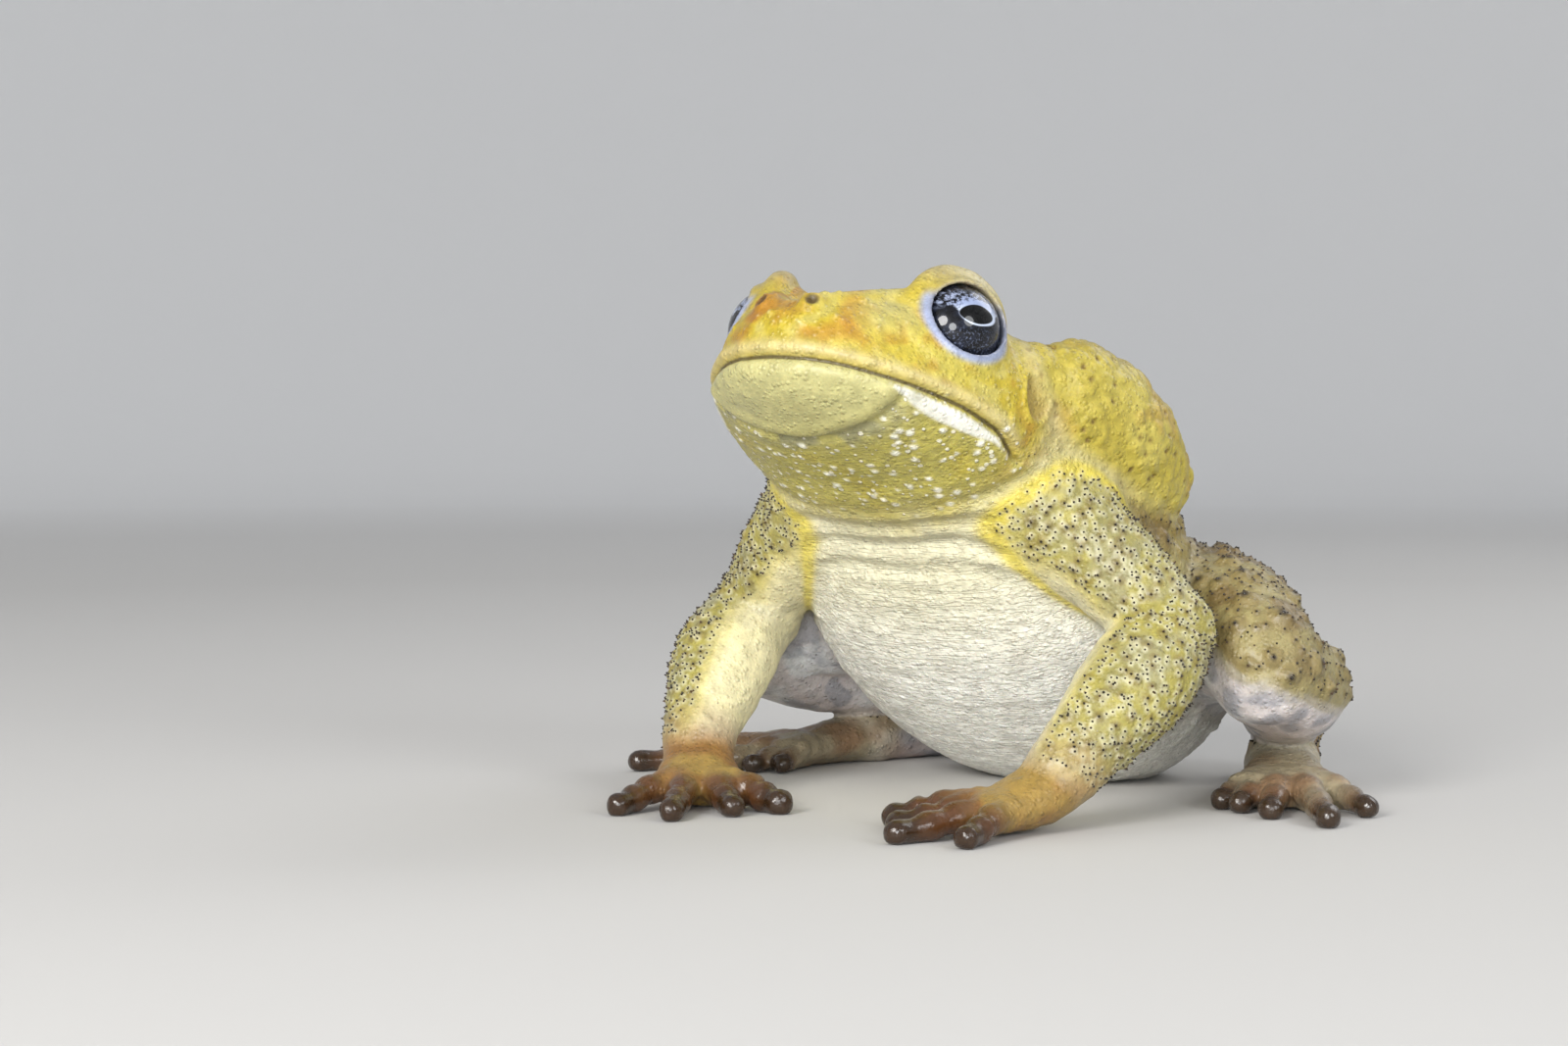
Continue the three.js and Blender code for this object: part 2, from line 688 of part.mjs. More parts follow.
// Limbs, each piece kept a gap away from all that was placed before it
const bodyTools = [trunk, skull].map((geometry) => toSolid(grown(geometry)));
for (const side of SIDES) {
  const placed = (geometry) => toSolid(onSide(side, geometry));
  const tool = (geometry) => toSolid(onSide(side, grown(geometry)));
  const glandTool = tool(gland);
  addNode(`eye_${side.name}`, placed(eyeball), material(0x1c1a18, 0.1));
  addNode(`ear_${side.name}`, cutBy(placed(ear()), [glandTool]), material(SKIN.olive));
  addNode(`gland_${side.name}`, placed(gland), material(SKIN.yellow, 0.5));

  const pieces = {
    upper_arm: [limb(UPPER_ARM)],
    forearm: [limb(FOREARM), ...limbWarts(FOREARM, 10, -60, 120, 3)],
    hand: hand(side),
    thigh: [limb(THIGH, 7, 13), ...limbWarts(THIGH, 10, 20, 160, 5)],
    shank: [limb(SHANK), ...limbWarts(SHANK, 10, -150, 60, 9)],
    tarsus: [limb(TARSUS, 5, 10)],
    foot: foot(side),
  };
  const taken = [...bodyTools, glandTool];
  for (const [name, parts] of Object.entries(pieces)) {
    const paint = material(name === "hand" || name === "foot" ? SKIN.brown : SKIN.olive);
    addNode(`${name}_${side.name}`, cutBy(joined(parts.map(placed)), taken).intersect(room), paint);
    taken.push(joined(parts.map(tool)));
  }
}

export default group;
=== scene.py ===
"""A cane toad sitting at rest, life size: one skin over the whole body, its horny points and two eyes.

Lengths are in millimetres until a mesh is made, in metres. The toad faces -Y, its left is +X and up is +Z.
"""

import math

import bpy
import numpy as np
import openvdb
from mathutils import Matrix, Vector
from mathutils.kdtree import KDTree


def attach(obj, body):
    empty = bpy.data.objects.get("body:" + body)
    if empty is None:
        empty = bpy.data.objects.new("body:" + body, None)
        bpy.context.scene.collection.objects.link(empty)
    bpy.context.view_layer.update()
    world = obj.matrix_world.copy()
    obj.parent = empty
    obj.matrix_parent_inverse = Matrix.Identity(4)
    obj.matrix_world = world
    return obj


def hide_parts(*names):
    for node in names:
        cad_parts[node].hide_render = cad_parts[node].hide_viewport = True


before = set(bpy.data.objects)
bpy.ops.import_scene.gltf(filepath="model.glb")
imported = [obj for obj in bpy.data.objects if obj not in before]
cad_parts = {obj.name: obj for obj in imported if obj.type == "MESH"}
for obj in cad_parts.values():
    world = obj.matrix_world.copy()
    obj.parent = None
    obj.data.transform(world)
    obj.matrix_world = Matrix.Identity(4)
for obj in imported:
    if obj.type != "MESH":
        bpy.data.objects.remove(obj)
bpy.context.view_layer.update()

MM = 0.001
COLOUR_MAP = "OFBake"

# The head: its upward tilt, and its origin in y and z. Places on it are forward, out and up from there.
HEAD_PITCH = math.radians(16)
HEAD_ORIGIN = (-54.0, 54.0)
SNOUT_TIP = (36.8, 0, 3.0)
EYE_RADIUS = 6.5
EYE_CENTRE = (15.5, 15.4, 11.0)
EYE_LOOKS = (0.46, 0.86, 0.2)
EYE_OPENING = (6.0, 5.3)
EYE_REACH = 15
PUPIL = (2.7, 1.4)
PUPIL_POWER = 1.8
LID_THICKNESS = 1.2
EAR_PLACE = (4.8, 22.2, 4.2)
EAR_SIZE = (2.7, 3.4)

# A nostril: forward, out and radius
NOSTRIL = (33.6, 3.6, 1.0)

# The bony ridges of the crown: from the nostril to the eye and along the upper lid, behind the eye and over
# the ear, and in front of the eye. Each point is forward, out and radius.
RIDGES = [
    [
        (33, 3.8, 0.9), (28.5, 6.4, 1.4), (24.5, 9, 1.6), (20.5, 11, 1.7),
        (16, 10.2, 1.6), (11.5, 10.8, 1.6), (8.6, 13, 1.5),
    ],
    [(8.6, 13, 1.4), (6, 18, 1.6), (4.4, 21.2, 1.5), (3, 22.9, 1.1)],
    [(22.6, 10.4, 1.3), (21.8, 14, 1.3), (21, 17.2, 0.9)],
]

# The line of the mouth, from the snout back: forward and up
MOUTH = [(44, 1.4), (34, 0.9), (26, 0.1), (18, -0.9), (11, -2.4), (5.5, -5.0)]

# Sections of the trunk from the rump to the neck: y and z of the back, y and z of the belly, half width, how
# far up it is widest as a share, and how square it is above and below that
TRUNK = np.array([
    [17.5, 10, 16, 5, 4, 0.5, 2, 2],
    [13.8, 19.5, 11, 1, 12, 0.5, 2, 2],
    [8, 30, 3, -1.5, 20.5, 0.47, 2.1, 2.1],
    [-2, 40.5, -8, -1.5, 27, 0.45, 2.2, 2.2],
    [-13.5, 49, -20, 1.5, 30.5, 0.43, 2.2, 2.2],
    [-25, 56.5, -32, 8.5, 31, 0.43, 2.2, 2.2],
    [-36, 62.8, -43, 18, 28.5, 0.45, 2.2, 2.2],
    [-45, 67.3, -51, 29, 25, 0.48, 2.2, 2.2],
    [-52, 69.5, -57, 39, 22.5, 0.5, 2.2, 2.2],
    [-58, 70, -64, 46, 20, 0.5, 2.2, 2.2],
])

# Sections of the head from the neck to the snout: forward and up of the crown, forward and up of the throat,
# and the rest as for the trunk
HEAD = np.array([
    [-8, 14, -5, -11, 18, 0.5, 2.1, 2],
    [0, 15.4, 0, -12.4, 22.8, 0.46, 2.3, 2],
    [7, 15.6, 7, -11.6, 23.6, 0.44, 2.5, 2],
    [14, 15.2, 14, -10.2, 22.4, 0.43, 2.7, 2],
    [20, 14.4, 20, -8.6, 20, 0.42, 2.8, 2],
    [25, 13.4, 25.5, -7, 17.2, 0.41, 2.8, 2],
    [29.5, 11.7, 30, -5.4, 13.6, 0.4, 2.6, 2.1],
    [33.2, 10, 33.5, -3.8, 9.8, 0.41, 2.3, 2.2],
    [35.8, 7.7, 35.8, -2, 5.6, 0.43, 2.1, 2.2],
])

# The left limbs and gland, each along its middle: x, y, z, half width and half height
UPPER_ARM = [
    [16, -49, 46, 8, 8],
    [24, -46, 39.5, 7.6, 7.6],
    [31, -43, 32.5, 6.9, 6.9],
    [35.6, -41, 26.4, 6.4, 6.4],
]
FOREARM = [[36, -42, 25.6, 6.6, 6.6], [36, -48, 21, 8, 7.6], [34, -55.5, 14.8, 7, 6.8], [31.6, -62, 9, 5, 5]]
THIGH = [
    [11, 3, 21, 12.5, 12.5],
    [22, -6, 24, 13.4, 13],
    [33.5, -17, 25.2, 11, 10.8],
    [43, -26.5, 23, 8.2, 8.2],
]
SHANK = [
    [44.6, -27.5, 20, 8.2, 8],
    [43.6, -18, 17.2, 8.8, 8],
    [38.5, -8, 14, 7.6, 6.8],
    [32, 5, 9.6, 5.4, 5],
    [28.4, 12.5, 7.2, 5, 4.8],
]
TARSUS = [[28.6, 13.4, 5.6, 5, 4.9], [32.4, 4, 4.6, 4.8, 4.5], [37.4, -7, 4.2, 5.2, 4.2]]
PAROTOID = [
    [20.4, -52, 62, 4.2, 5.6],
    [22.6, -46.5, 60, 5.8, 8.4],
    [24.6, -38.5, 56, 6.2, 9.4],
    [26.4, -30, 50.6, 5.4, 8],
    [27, -24, 46.6, 3.6, 5],
]
LIMBS = {
    "gland": PAROTOID, "upper_arm": UPPER_ARM, "forearm": FOREARM,
    "thigh": THIGH, "shank": SHANK, "tarsus": TARSUS,
}

# Palms and soles: the limb that each goes on from, its length, where along it the digits start, its sections
# (share of the length, height, half width, half height) and its digits (offset, angle, length, radius)
PADS = {
    "hand": {
        "limb": FOREARM,
        "length": 13,
        "roots": 0.95,
        "sections": [(0, 8.4, 4.7, 4.6), (0.3, 5.4, 5.4, 4.3), (0.65, 3.8, 6.3, 3.5), (1, 3, 6.3, 2.7)],
        "digits": [(4.9, 40, 10.5, 2.6), (2, 15, 11.5, 2.3), (-1.6, -7, 16, 2.3), (-4.8, -34, 11.5, 2.2)],
    },
    "foot": {
        "limb": TARSUS,
        "length": 17,
        "roots": 0.85,
        "sections": [(0, 4.2, 5.2, 4.2), (0.35, 3.6, 6, 3.6), (0.7, 2.8, 6.6, 2.9), (1, 2.2, 6.6, 2.2)],
        "digits": [
            (5.6, 32, 8.5, 2), (3.6, 20, 12, 2.1), (1.2, 8.5, 17.5, 2.2),
            (-1.6, -4, 26, 2.3), (-4.6, -20, 15.5, 2.1),
        ],
    },
}

# A digit along its length: share of the length, height and share of the radius
DIGIT_SHAPE = [
    (0, 3.2, 1), (0.2, 3.1, 0.92), (0.38, 2.9, 1), (0.52, 2.4, 0.8),
    (0.68, 2.1, 0.92), (0.84, 1.7, 0.72), (1, 1.5, 0.82),
]

# The webs between the toes: their reach as a share of the shorter toe, how much of that the hollow between the
# toes has, the most that they cover of a toe, and the heights of their lower and upper face
WEB_REACH = 0.65
WEB_HOLLOW = 0.72
WEB_LIMIT = 0.9
WEB_HEIGHTS = (0.5, 1.4)

# The two sides, with the way that each hand and foot is turned on the floor, in degrees out from ahead
SIDES = {"left": {"out": 1, "hand": -30, "foot": 30}, "right": {"out": -1, "hand": -36, "foot": 27}}

# Widths of the fillets where forms join, and how far the parts' colours run into one another
FILLET = {
    "seam": 0.1, "neck": 6, "gland": 3.6, "ridge": 1.8, "wrist": 2.5, "digit": 1.6, "web": 1.2, "floor": 0.4,
}
BLEND_WIDTH = 0.9
PARTS = ("trunk", "head", "gland", "upper_arm", "forearm", "hand", "thigh", "shank", "tarsus", "foot")

# The block of space that the skin is worked out in
VOXEL = 0.4
BAND = 18
LOW = np.array([-68.0, -96.0, -4.0])
HIGH = np.array([68.0, 24.0, 84.0])
FIRST = np.round(LOW / VOXEL).astype(int)
LAST = np.round(HIGH / VOXEL).astype(int)
OUTSIDE = BAND * VOXEL

# Colours as 8-bit red, green and blue; those of the chin's fold, the nostrils and the creases are painted
# shade
COLOURS = {
    "belly": (236, 235, 226), "cloud": (204, 200, 188), "cream": (212, 206, 166), "flank": (168, 154, 88),
    "olive": (146, 128, 58), "straw": (150, 134, 72), "brown": (98, 76, 40), "dark": (40, 30, 20),
    "yellow": (178, 158, 38), "lemon": (184, 171, 74), "ochre": (168, 116, 20), "amber": (168, 132, 24),
    "primrose": (192, 182, 108), "crown": (176, 168, 108), "tawny": (154, 104, 22), "grey": (150, 146, 112),
    "throat": (174, 164, 80), "chin": (184, 179, 126), "lip": (194, 180, 126), "white": (228, 227, 216),
    "fold": (130, 128, 100), "granule": (232, 230, 214), "brow": (150, 136, 60), "lid": (144, 156, 190),
    "lid_edge": (112, 118, 136), "nostril": (58, 42, 24), "corner": (150, 112, 40), "drum": (146, 118, 62),
    "gland": (172, 156, 58), "gland_light": (190, 176, 86), "gland_patch": (164, 128, 52),
    "pore": (96, 66, 30), "arm": (214, 206, 164), "arm_yellow": (198, 184, 98), "arm_olive": (152, 142, 64),
    "arm_shade": (128, 124, 84), "elbow": (158, 156, 142), "armpit": (214, 196, 66), "hand": (150, 122, 60),
    "hand_rust": (128, 82, 40),
    "digit": (74, 44, 26), "leg": (146, 134, 88), "pink": (206, 198, 196), "milk": (222, 222, 222),
    "slate": (128, 132, 142), "rust": (150, 92, 36), "foot": (150, 138, 112), "foot_rust": (120, 84, 54),
    "wart_ring": (112, 92, 52), "stud": (204, 200, 166), "bead": (214, 204, 150), "shaded_crease": (164, 156, 132),
    "grain": (232, 228, 208), "speck": (38, 28, 18), "gland_dot": (110, 78, 34), "mouth": (58, 46, 26),
    "horn": (30, 22, 14), "horn_root": (84, 58, 30), "iris": (9, 10, 15), "iris_cloud": (30, 35, 50),
    "iris_patch": (158, 168, 196), "iris_dust": (110, 120, 146), "silver": (194, 204, 224),
    "steel": (142, 154, 186), "pupil": (2, 2, 3), "eye_edge": (20, 24, 36),
}

# The camera: the photo's frame and viewing angle, with the toad right of the middle as it is there
IMAGE_SIZE = (1600, 1067)
LENS, SENSOR = 70.0, 36.0
CAMERA_AZIMUTH, CAMERA_ELEVATION = math.radians(35), math.radians(2)
CAMERA_TARGET = np.array([2.0, -36.0, 37.0])
TARGET_PIXEL = (1002, 560)
PIXELS_PER_MM = 6.8

# The studio: lights as place, size, power and colour, and the floor's colours near the toad and far from it
LIGHT_TARGET = (0, -35, 35)
LIGHTS = {
    "key": ((80, -900, 400), 380, 7.6, (1, 0.98, 0.95)),
    "side": ((900, -340, 400), 420, 3.5, (0.96, 0.98, 1)),
    "low": ((480, -860, 180), 300, 3.6, (0.96, 0.98, 1)),
    "rim": ((250, 660, 640), 560, 2.2, (1, 1, 1)),
}
SKY_COLOUR, SKY_STRENGTH = (0.85, 0.87, 0.9, 1), 0.6
# Painted light and shade: the floor is darker near the toad, where the lamps are strong, and paler far off
FLOOR_NEAR, FLOOR_FAR = (0.55, 0.54, 0.525), (0.88, 0.88, 0.88)
FLOOR_RADIUS, FLOOR_BEND, WALL_HEIGHT = 1500, 900, 2600


def clamp(value):
    return np.clip(value, 0, 1)


def mix(a, b, share):
    return a + (b - a) * share


def step(low, high, value):
    """A smooth rise from 0 at low to 1 at high."""
    x = clamp((value - low) / (high - low))
    return x * x * (3 - 2 * x)


def ridge(value, middle, width):
    return np.exp(-(((value - middle) / width) ** 2))


def dome(distance, radius):
    return clamp(1 - (distance / radius) ** 2) ** 1.3


def unit(v):
    return v / np.linalg.norm(v, axis=-1, keepdims=True)


def turns(sides):
    """Even angles round a circle."""
    return np.linspace(0, 2 * np.pi, sides, endpoint=False)


def heading(degrees):
    """The floor direction that is turned from straight ahead, by degrees towards the left."""
    angle = math.radians(degrees)
    return np.array([math.sin(angle), -math.cos(angle)])


def row_at(rows, t):
    """Smooth blend of a table's rows at share t of the way from the first row to the last."""
    rows = np.asarray(rows, float)
    last = len(rows) - 1
    place = clamp(t) * last
    i = np.minimum(np.asarray(place).astype(int), last - 1)
    f = np.asarray(place - i)[..., None]
    a, b, c, d = (rows[np.clip(i + k, 0, last)] for k in (-1, 0, 1, 2))
    slope, after, rise = (c - a) / 2, (d - b) / 2, c - b
    return b + f * (slope + f * (3 * rise - 2 * slope - after + f * (slope + after - 2 * rise)))


def section_place(angle, half_width, level, square_above, square_below):
    """A point of a rounded section: its place across, and its share of the way up."""
    c, s = np.cos(angle), np.sin(angle)
    power = 2 / np.where(s > 0, square_above, square_below)
    rise = np.abs(s) ** power
    across = half_width * np.sign(c) * np.abs(c) ** power
    return across, np.where(s > 0, level + (1 - level) * rise, level * (1 - rise))


def trunk_points(t, angle):
    y_back, z_back, y_belly, z_belly, *shape = np.moveaxis(row_at(TRUNK, t), -1, 0)
    across, share = section_place(angle, *shape)
    return np.stack([across, mix(y_belly, y_back, share), mix(z_belly, z_back, share)], -1)


def head_place(forward, out, up):
    """A place given by the head's own forward, out and up."""
    c, s = math.cos(HEAD_PITCH), math.sin(HEAD_PITCH)
    y = HEAD_ORIGIN[0] - forward * c + up * s
    z = HEAD_ORIGIN[1] + forward * s + up * c
    return np.stack(np.broadcast_arrays(out, y, z), -1).astype(float)


def head_coordinates(points):
    """The reverse of head_place: forward, out and up of points."""
    c, s = math.cos(HEAD_PITCH), math.sin(HEAD_PITCH)
    y, z = points[..., 1] - HEAD_ORIGIN[0], points[..., 2] - HEAD_ORIGIN[1]
    return -y * c + z * s, points[..., 0], y * s + z * c


def head_points(t, angle):
    top_forward, top_up, throat_forward, throat_up, *shape = np.moveaxis(row_at(HEAD, t), -1, 0)
    across, share = section_place(angle, *shape)
    return head_place(mix(throat_forward, top_forward, share), across, mix(throat_up, top_up, share))


def skin_over(rings, first, last):
    """A closed surface over rings of points, with a point at each end: its points and triangles."""
    count, sides = rings.shape[:2]
    points = np.vstack([first, rings.reshape(-1, 3), last])
    k = np.arange(sides)
    after = (k + 1) % sides
    ring = 1 + np.arange(count - 1)[:, None] * sides
    a, b = ring + k, ring + after
    c, d = b + sides, a + sides
    end = 1 + (count - 1) * sides
    faces = [
        np.stack([a, b, c], -1).reshape(-1, 3),
        np.stack([a, c, d], -1).reshape(-1, 3),
        np.stack([np.zeros(sides, int), 1 + after, 1 + k], -1),
        np.stack([np.full(sides, len(points) - 1), end + k, end + after], -1),
    ]
    return points, np.vstack(faces)


def section_surface(points_at, last_point=None, steps=90, sides=96):
    """A closed surface through the sections that points_at gives."""
    rings = points_at(*np.meshgrid(np.linspace(0, 1, steps), turns(sides), indexing="ij"))
    return skin_over(rings, rings[0].mean(0), rings[-1].mean(0) if last_point is None else last_point)


def limb_surface(rows, steps=44, sides=32, caps=7):
    """A limb along a path, with round ends."""
    cap = np.linspace(0, np.pi / 2, caps + 1)[1:-1]
    t = np.concatenate([np.zeros(len(cap)), np.linspace(0, 1, steps), np.ones(len(cap))])
    shift = np.concatenate([-np.sin(cap[::-1]), np.zeros(steps), np.sin(cap)])
    scale = np.concatenate([np.cos(cap[::-1]), np.ones(steps), np.cos(cap)])
    row = row_at(rows, t)
    along = unit(row_at(rows, np.minimum(1, t + 0.01))[:, :3] - row_at(rows, np.maximum(0, t - 0.01))[:, :3])
    across = unit(np.cross((0, 0, 1), along))
    up = np.cross(along, across)
    radius = row[:, 3:5].min(-1)
    centre = row[:, :3] + along * (shift * radius)[:, None]
    angle = turns(sides)
    wide = (row[:, 3] * scale)[:, None, None] * across[:, None] * np.cos(angle)[None, :, None]
    high = (row[:, 4] * scale)[:, None, None] * up[:, None] * np.sin(angle)[None, :, None]
    ends = [row[i, :3] + along[i] * radius[i] * way for i, way in ((0, -1), (-1, 1))]
    return skin_over(centre[:, None] + wide + high, *ends)


def mirrored(surface, out):
    points, faces = surface
    return points * [out, 1, 1], faces


def blended(a, b, softness):
    """The lesser of two distances, rounded off where they are alike."""
    share = clamp(0.5 + 0.5 * (b - a) / softness)
    return mix(b, a, share) - softness * share * (1 - share)


def corner_shares(f):
    """The eight corners of a cell, each with its share in the places f inside the cell."""
    for corner in np.ndindex(2, 2, 2):
        yield np.array(corner), np.prod(np.where(corner, f, 1 - f), axis=1)


class Field:
    """Signed distances to a surface on a block of the grid: negative inside, and cut off at OUTSIDE."""

    def __init__(self, first, values):
        self.first = np.asarray(first)
        self.values = values

    @classmethod
    def empty(cls, low, high):
        first = np.maximum(np.floor(np.asarray(low) / VOXEL).astype(int) - BAND, FIRST)
        last = np.minimum(np.ceil(np.asarray(high) / VOXEL).astype(int) + BAND, LAST)
        return cls(first, np.full(tuple(last - first), OUTSIDE, np.float32))

    @classmethod
    def of(cls, surface):
        points, faces = surface
        field = cls.empty(points.min(0), points.max(0))
        grid = openvdb.FloatGrid.createLevelSetFromPolygons(
            np.ascontiguousarray(points, np.float32),
            triangles=np.ascontiguousarray(faces, np.uint32),
            transform=openvdb.createLinearTransform(VOXEL),
            halfWidth=BAND,
        )
        grid.copyToArray(field.values, ijk=tuple(int(i) for i in field.first))
        return field

    def places(self):
        """The x, y and z of the block's voxels, each shaped to spread over the block."""
        axes = [(self.first[i] + np.arange(self.values.shape[i])) * VOXEL for i in range(3)]
        return np.meshgrid(*axes, indexing="ij", sparse=True)

    def window(self, first, last):
        """A view of the part of this field between two voxels."""
        start = np.clip(first - self.first, 0, self.values.shape)
        stop = np.clip(last - self.first, 0, self.values.shape)
        return Field(self.first + start, self.values[tuple(slice(a, b) for a, b in zip(start, stop))])

    def block(self, centre, reach):
        """A view of the part of this field within reach of a place."""
        low, high = centre - reach, centre + reach
        return self.window(np.floor(low / VOXEL).astype(int), np.ceil(high / VOXEL).astype(int))

    def join(self, other, softness):
        """Adds another surface, with a fillet as wide as softness, which may be a function of place."""
        here = self.window(other.first, other.first + other.values.shape)
        start = here.first - other.first
        theirs = other.values[tuple(slice(a, a + n) for a, n in zip(start, here.values.shape))]
        here.merge(theirs, softness(*here.places()) if callable(softness) else softness)

    def merge(self, distance, softness):
        """Adds a surface that is given by its distances over the block."""
        self.values[...] = blended(self.values, distance, softness)

    def cut(self, distance, softness):
        """Takes away where distance, an array over the block, is negative."""
        self.values[...] = -blended(-self.values, distance, softness)

    def at(self, points):
        """Distances at points, blended from the voxels round them."""
        place = points / VOXEL - self.first
        inside = np.all((place >= 0) & (place < np.array(self.values.shape) - 1.001), axis=1)
        i = place[inside].astype(int)
        total = np.zeros(len(i))
        for corner, share in corner_shares(place[inside] - i):
            total += share * self.values[tuple((i + corner).T)]
        out = np.full(len(points), OUTSIDE, np.float32)
        out[inside] = total
        return out

    def surface(self):
        grid = openvdb.FloatGrid(OUTSIDE)
        grid.copyFromArray(self.values, ijk=tuple(int(i) for i in self.first))
        grid.transform = openvdb.createLinearTransform(VOXEL)
        return grid.convertToQuads()


def soft_near(place, reach, soft, tight):
    """A fillet that is wide round a joint and narrow away from it."""
    def softness(x, y, z):
        distance = (x - place[0]) ** 2 + (y - place[1]) ** 2 + (z - place[2]) ** 2
        return tight + (soft - tight) * np.exp(-distance / reach**2)
    return softness


def pad_start(part):
    return np.array(PADS[part]["limb"][-1][:2], float)


def digit_fan(part, side):
    """The root, direction, length and path of each digit of a hand or foot, as if on the left."""
    pad, turn = PADS[part], side[part]
    knuckles = pad_start(part) + heading(turn) * pad["length"] * pad["roots"]
    fan = []
    for offset, angle, length, radius in pad["digits"]:
        root, direction = knuckles + heading(turn - 90) * offset, heading(turn - angle)
        rows = [
            [*(root + direction * length * share), height, radius * wide, radius * wide]
            for share, height, wide in DIGIT_SHAPE
        ]
        fan.append({"root": root, "direction": direction, "length": length, "rows": rows})
    return fan


def web_surface(a, b):
    """The web between two toes: a thin plate with a hollow front edge."""
    reach = WEB_REACH * min(a["length"], b["length"])

    def along(toe, share):
        return toe["root"] + toe["direction"] * min(reach * share, toe["length"] * WEB_LIMIT)

    first, last = along(a, 1), along(b, 1)
    control = along(a, WEB_HOLLOW) + along(b, WEB_HOLLOW) - (first + last) / 2
    share = np.linspace(0, 1, 9)[:, None]
    edge = (1 - share) ** 2 * first + 2 * share * (1 - share) * control + share**2 * last
    rim = np.vstack([a["root"], edge, b["root"]])
    rings = np.stack([np.column_stack([rim, np.full(len(rim), z)]) for z in WEB_HEIGHTS])
    return skin_over(rings, rings[0].mean(0), rings[1].mean(0))


def pad_field(part, side):
    """A hand or foot: the palm or sole, the digits, and the webs of a foot."""
    pad, out = PADS[part], side["out"]
    fan = digit_fan(part, side)
    start, ahead = pad_start(part), heading(side[part])
    rows = [[*(start + ahead * pad["length"] * share), *size] for share, *size in pad["sections"]]
    sole = mirrored(limb_surface(rows), out)
    digits = [mirrored(limb_surface(digit["rows"], 30, 20, 5), out) for digit in fan]
    points = np.vstack([surface[0] for surface in (sole, *digits)])
    field = Field.empty(points.min(0), points.max(0))
    field.join(Field.of(sole), FILLET["seam"])
    for surface in digits:
        field.join(Field.of(surface), FILLET["digit"])
    if part == "foot":
        for a, b in zip(fan, fan[1:]):
            field.join(Field.of(mirrored(web_surface(a, b), out)), FILLET["web"])
    return field


def eye_frame(out):
    """An eye's centre, the way that it looks, and two directions across it: towards the snout and up."""
    centre = head_place(*EYE_CENTRE)
    origin = head_place(0, 0, 0)
    looks = unit(head_place(*EYE_LOOKS) - origin)
    ahead = head_place(1, 0, 0) - origin
    ahead = unit(ahead - looks * ahead.dot(looks))
    above = np.cross(ahead, looks)
    above = above if above[2] > 0 else -above
    return tuple(v * [out, 1, 1] for v in (centre, looks, ahead, above))


def eye_coordinates(x, y, z, out):
    """Places in an eye's own frame: towards the snout, up, and along the way that it looks."""
    centre, looks, ahead, above = eye_frame(out)
    offset = (x - centre[0], y - centre[1], z - centre[2])
    return tuple(sum(o * w for o, w in zip(offset, way)) for way in (ahead, above, looks))


def opening_distance(a, v):
    """How far outside the oval between the lids a place is."""
    wide, high = EYE_OPENING
    return (np.sqrt((a / wide) ** 2 + (v / high) ** 2) - 1) * high


def add_lids(skin, out):
    """The hood over an eye, the thick upper lid, the thin lower one, the socket and the lids' opening."""
    block = skin.block(eye_frame(out)[0], EYE_REACH)
    a, v, l = eye_coordinates(*block.places(), out)
    across = np.sqrt(a**2 + v**2)
    sine = v / np.maximum(across, 0.001)
    block.merge(np.sqrt(across**2 + (l + 0.4) ** 2) - EYE_RADIUS - LID_THICKNESS, 2.2)
    upper = mix(0.5, 2.1, clamp(sine) ** 0.6)
    block.merge(np.hypot(across - EYE_RADIUS - 0.7, l - 0.9) - upper, 1.0)
    lower = mix(0.45, 0.85, clamp(0.3 - sine))
    block.merge(np.hypot(across - EYE_RADIUS + 0.1, l - 1.9) - lower, 0.7)
    block.cut(np.sqrt(across**2 + l**2) - EYE_RADIUS - 0.05, 0.05)
    block.cut(np.maximum(opening_distance(a, v), -l), 0.6)


def crown_places(rows, sink=0.1):
    """A ridge's rows, forward, out and radius, as a path on the top of the head."""
    shares = np.linspace(0, 1, 400)
    forwards = row_at(HEAD, shares)[:, 0]
    path = []
    for forward, out, radius in rows:
        t = np.interp(forward, forwards, shares)
        half_width, square = row_at(HEAD, t)[[4, 6]]
        angle = math.acos(min(1, out / half_width) ** (square / 2))
        place = head_points(t, np.array(angle)) - (head_place(0, 0, sink) - head_place(0, 0, 0))
        path.append([*place, radius, radius])
    return path


def nostril_places(out):
    """The middle of a nostril's mound, and of its opening."""
    mound = np.array(crown_places([NOSTRIL])[0][:3]) * [out, 1, 1]
    return mound, mound + [0.75 * out, -0.75, 1.0]


def add_nostril(skin, out):
    radius = NOSTRIL[2]
    centres = nostril_places(out)
    block = skin.block(centres[0], 5)
    x, y, z = block.places()
    mound, pit = (np.sqrt((x - c[0]) ** 2 + (y - c[1]) ** 2 + (z - c[2]) ** 2) for c in centres)
    block.merge(mound - 1.35 * radius, 1.8)
    block.cut(pit - 0.85 * radius, 0.6)


def limb_group(parts, side_name, order):
    """The field of a whole arm or leg."""
    fields = [(parts[f"{part}_{side_name}"], softness) for part, softness in order]
    low = np.min([f.first for f, _ in fields], axis=0) * VOXEL
    high = np.max([f.first + f.values.shape for f, _ in fields], axis=0) * VOXEL
    group = Field.empty(low, high)
    for field, softness in fields:
        group.join(field, softness)
    return group


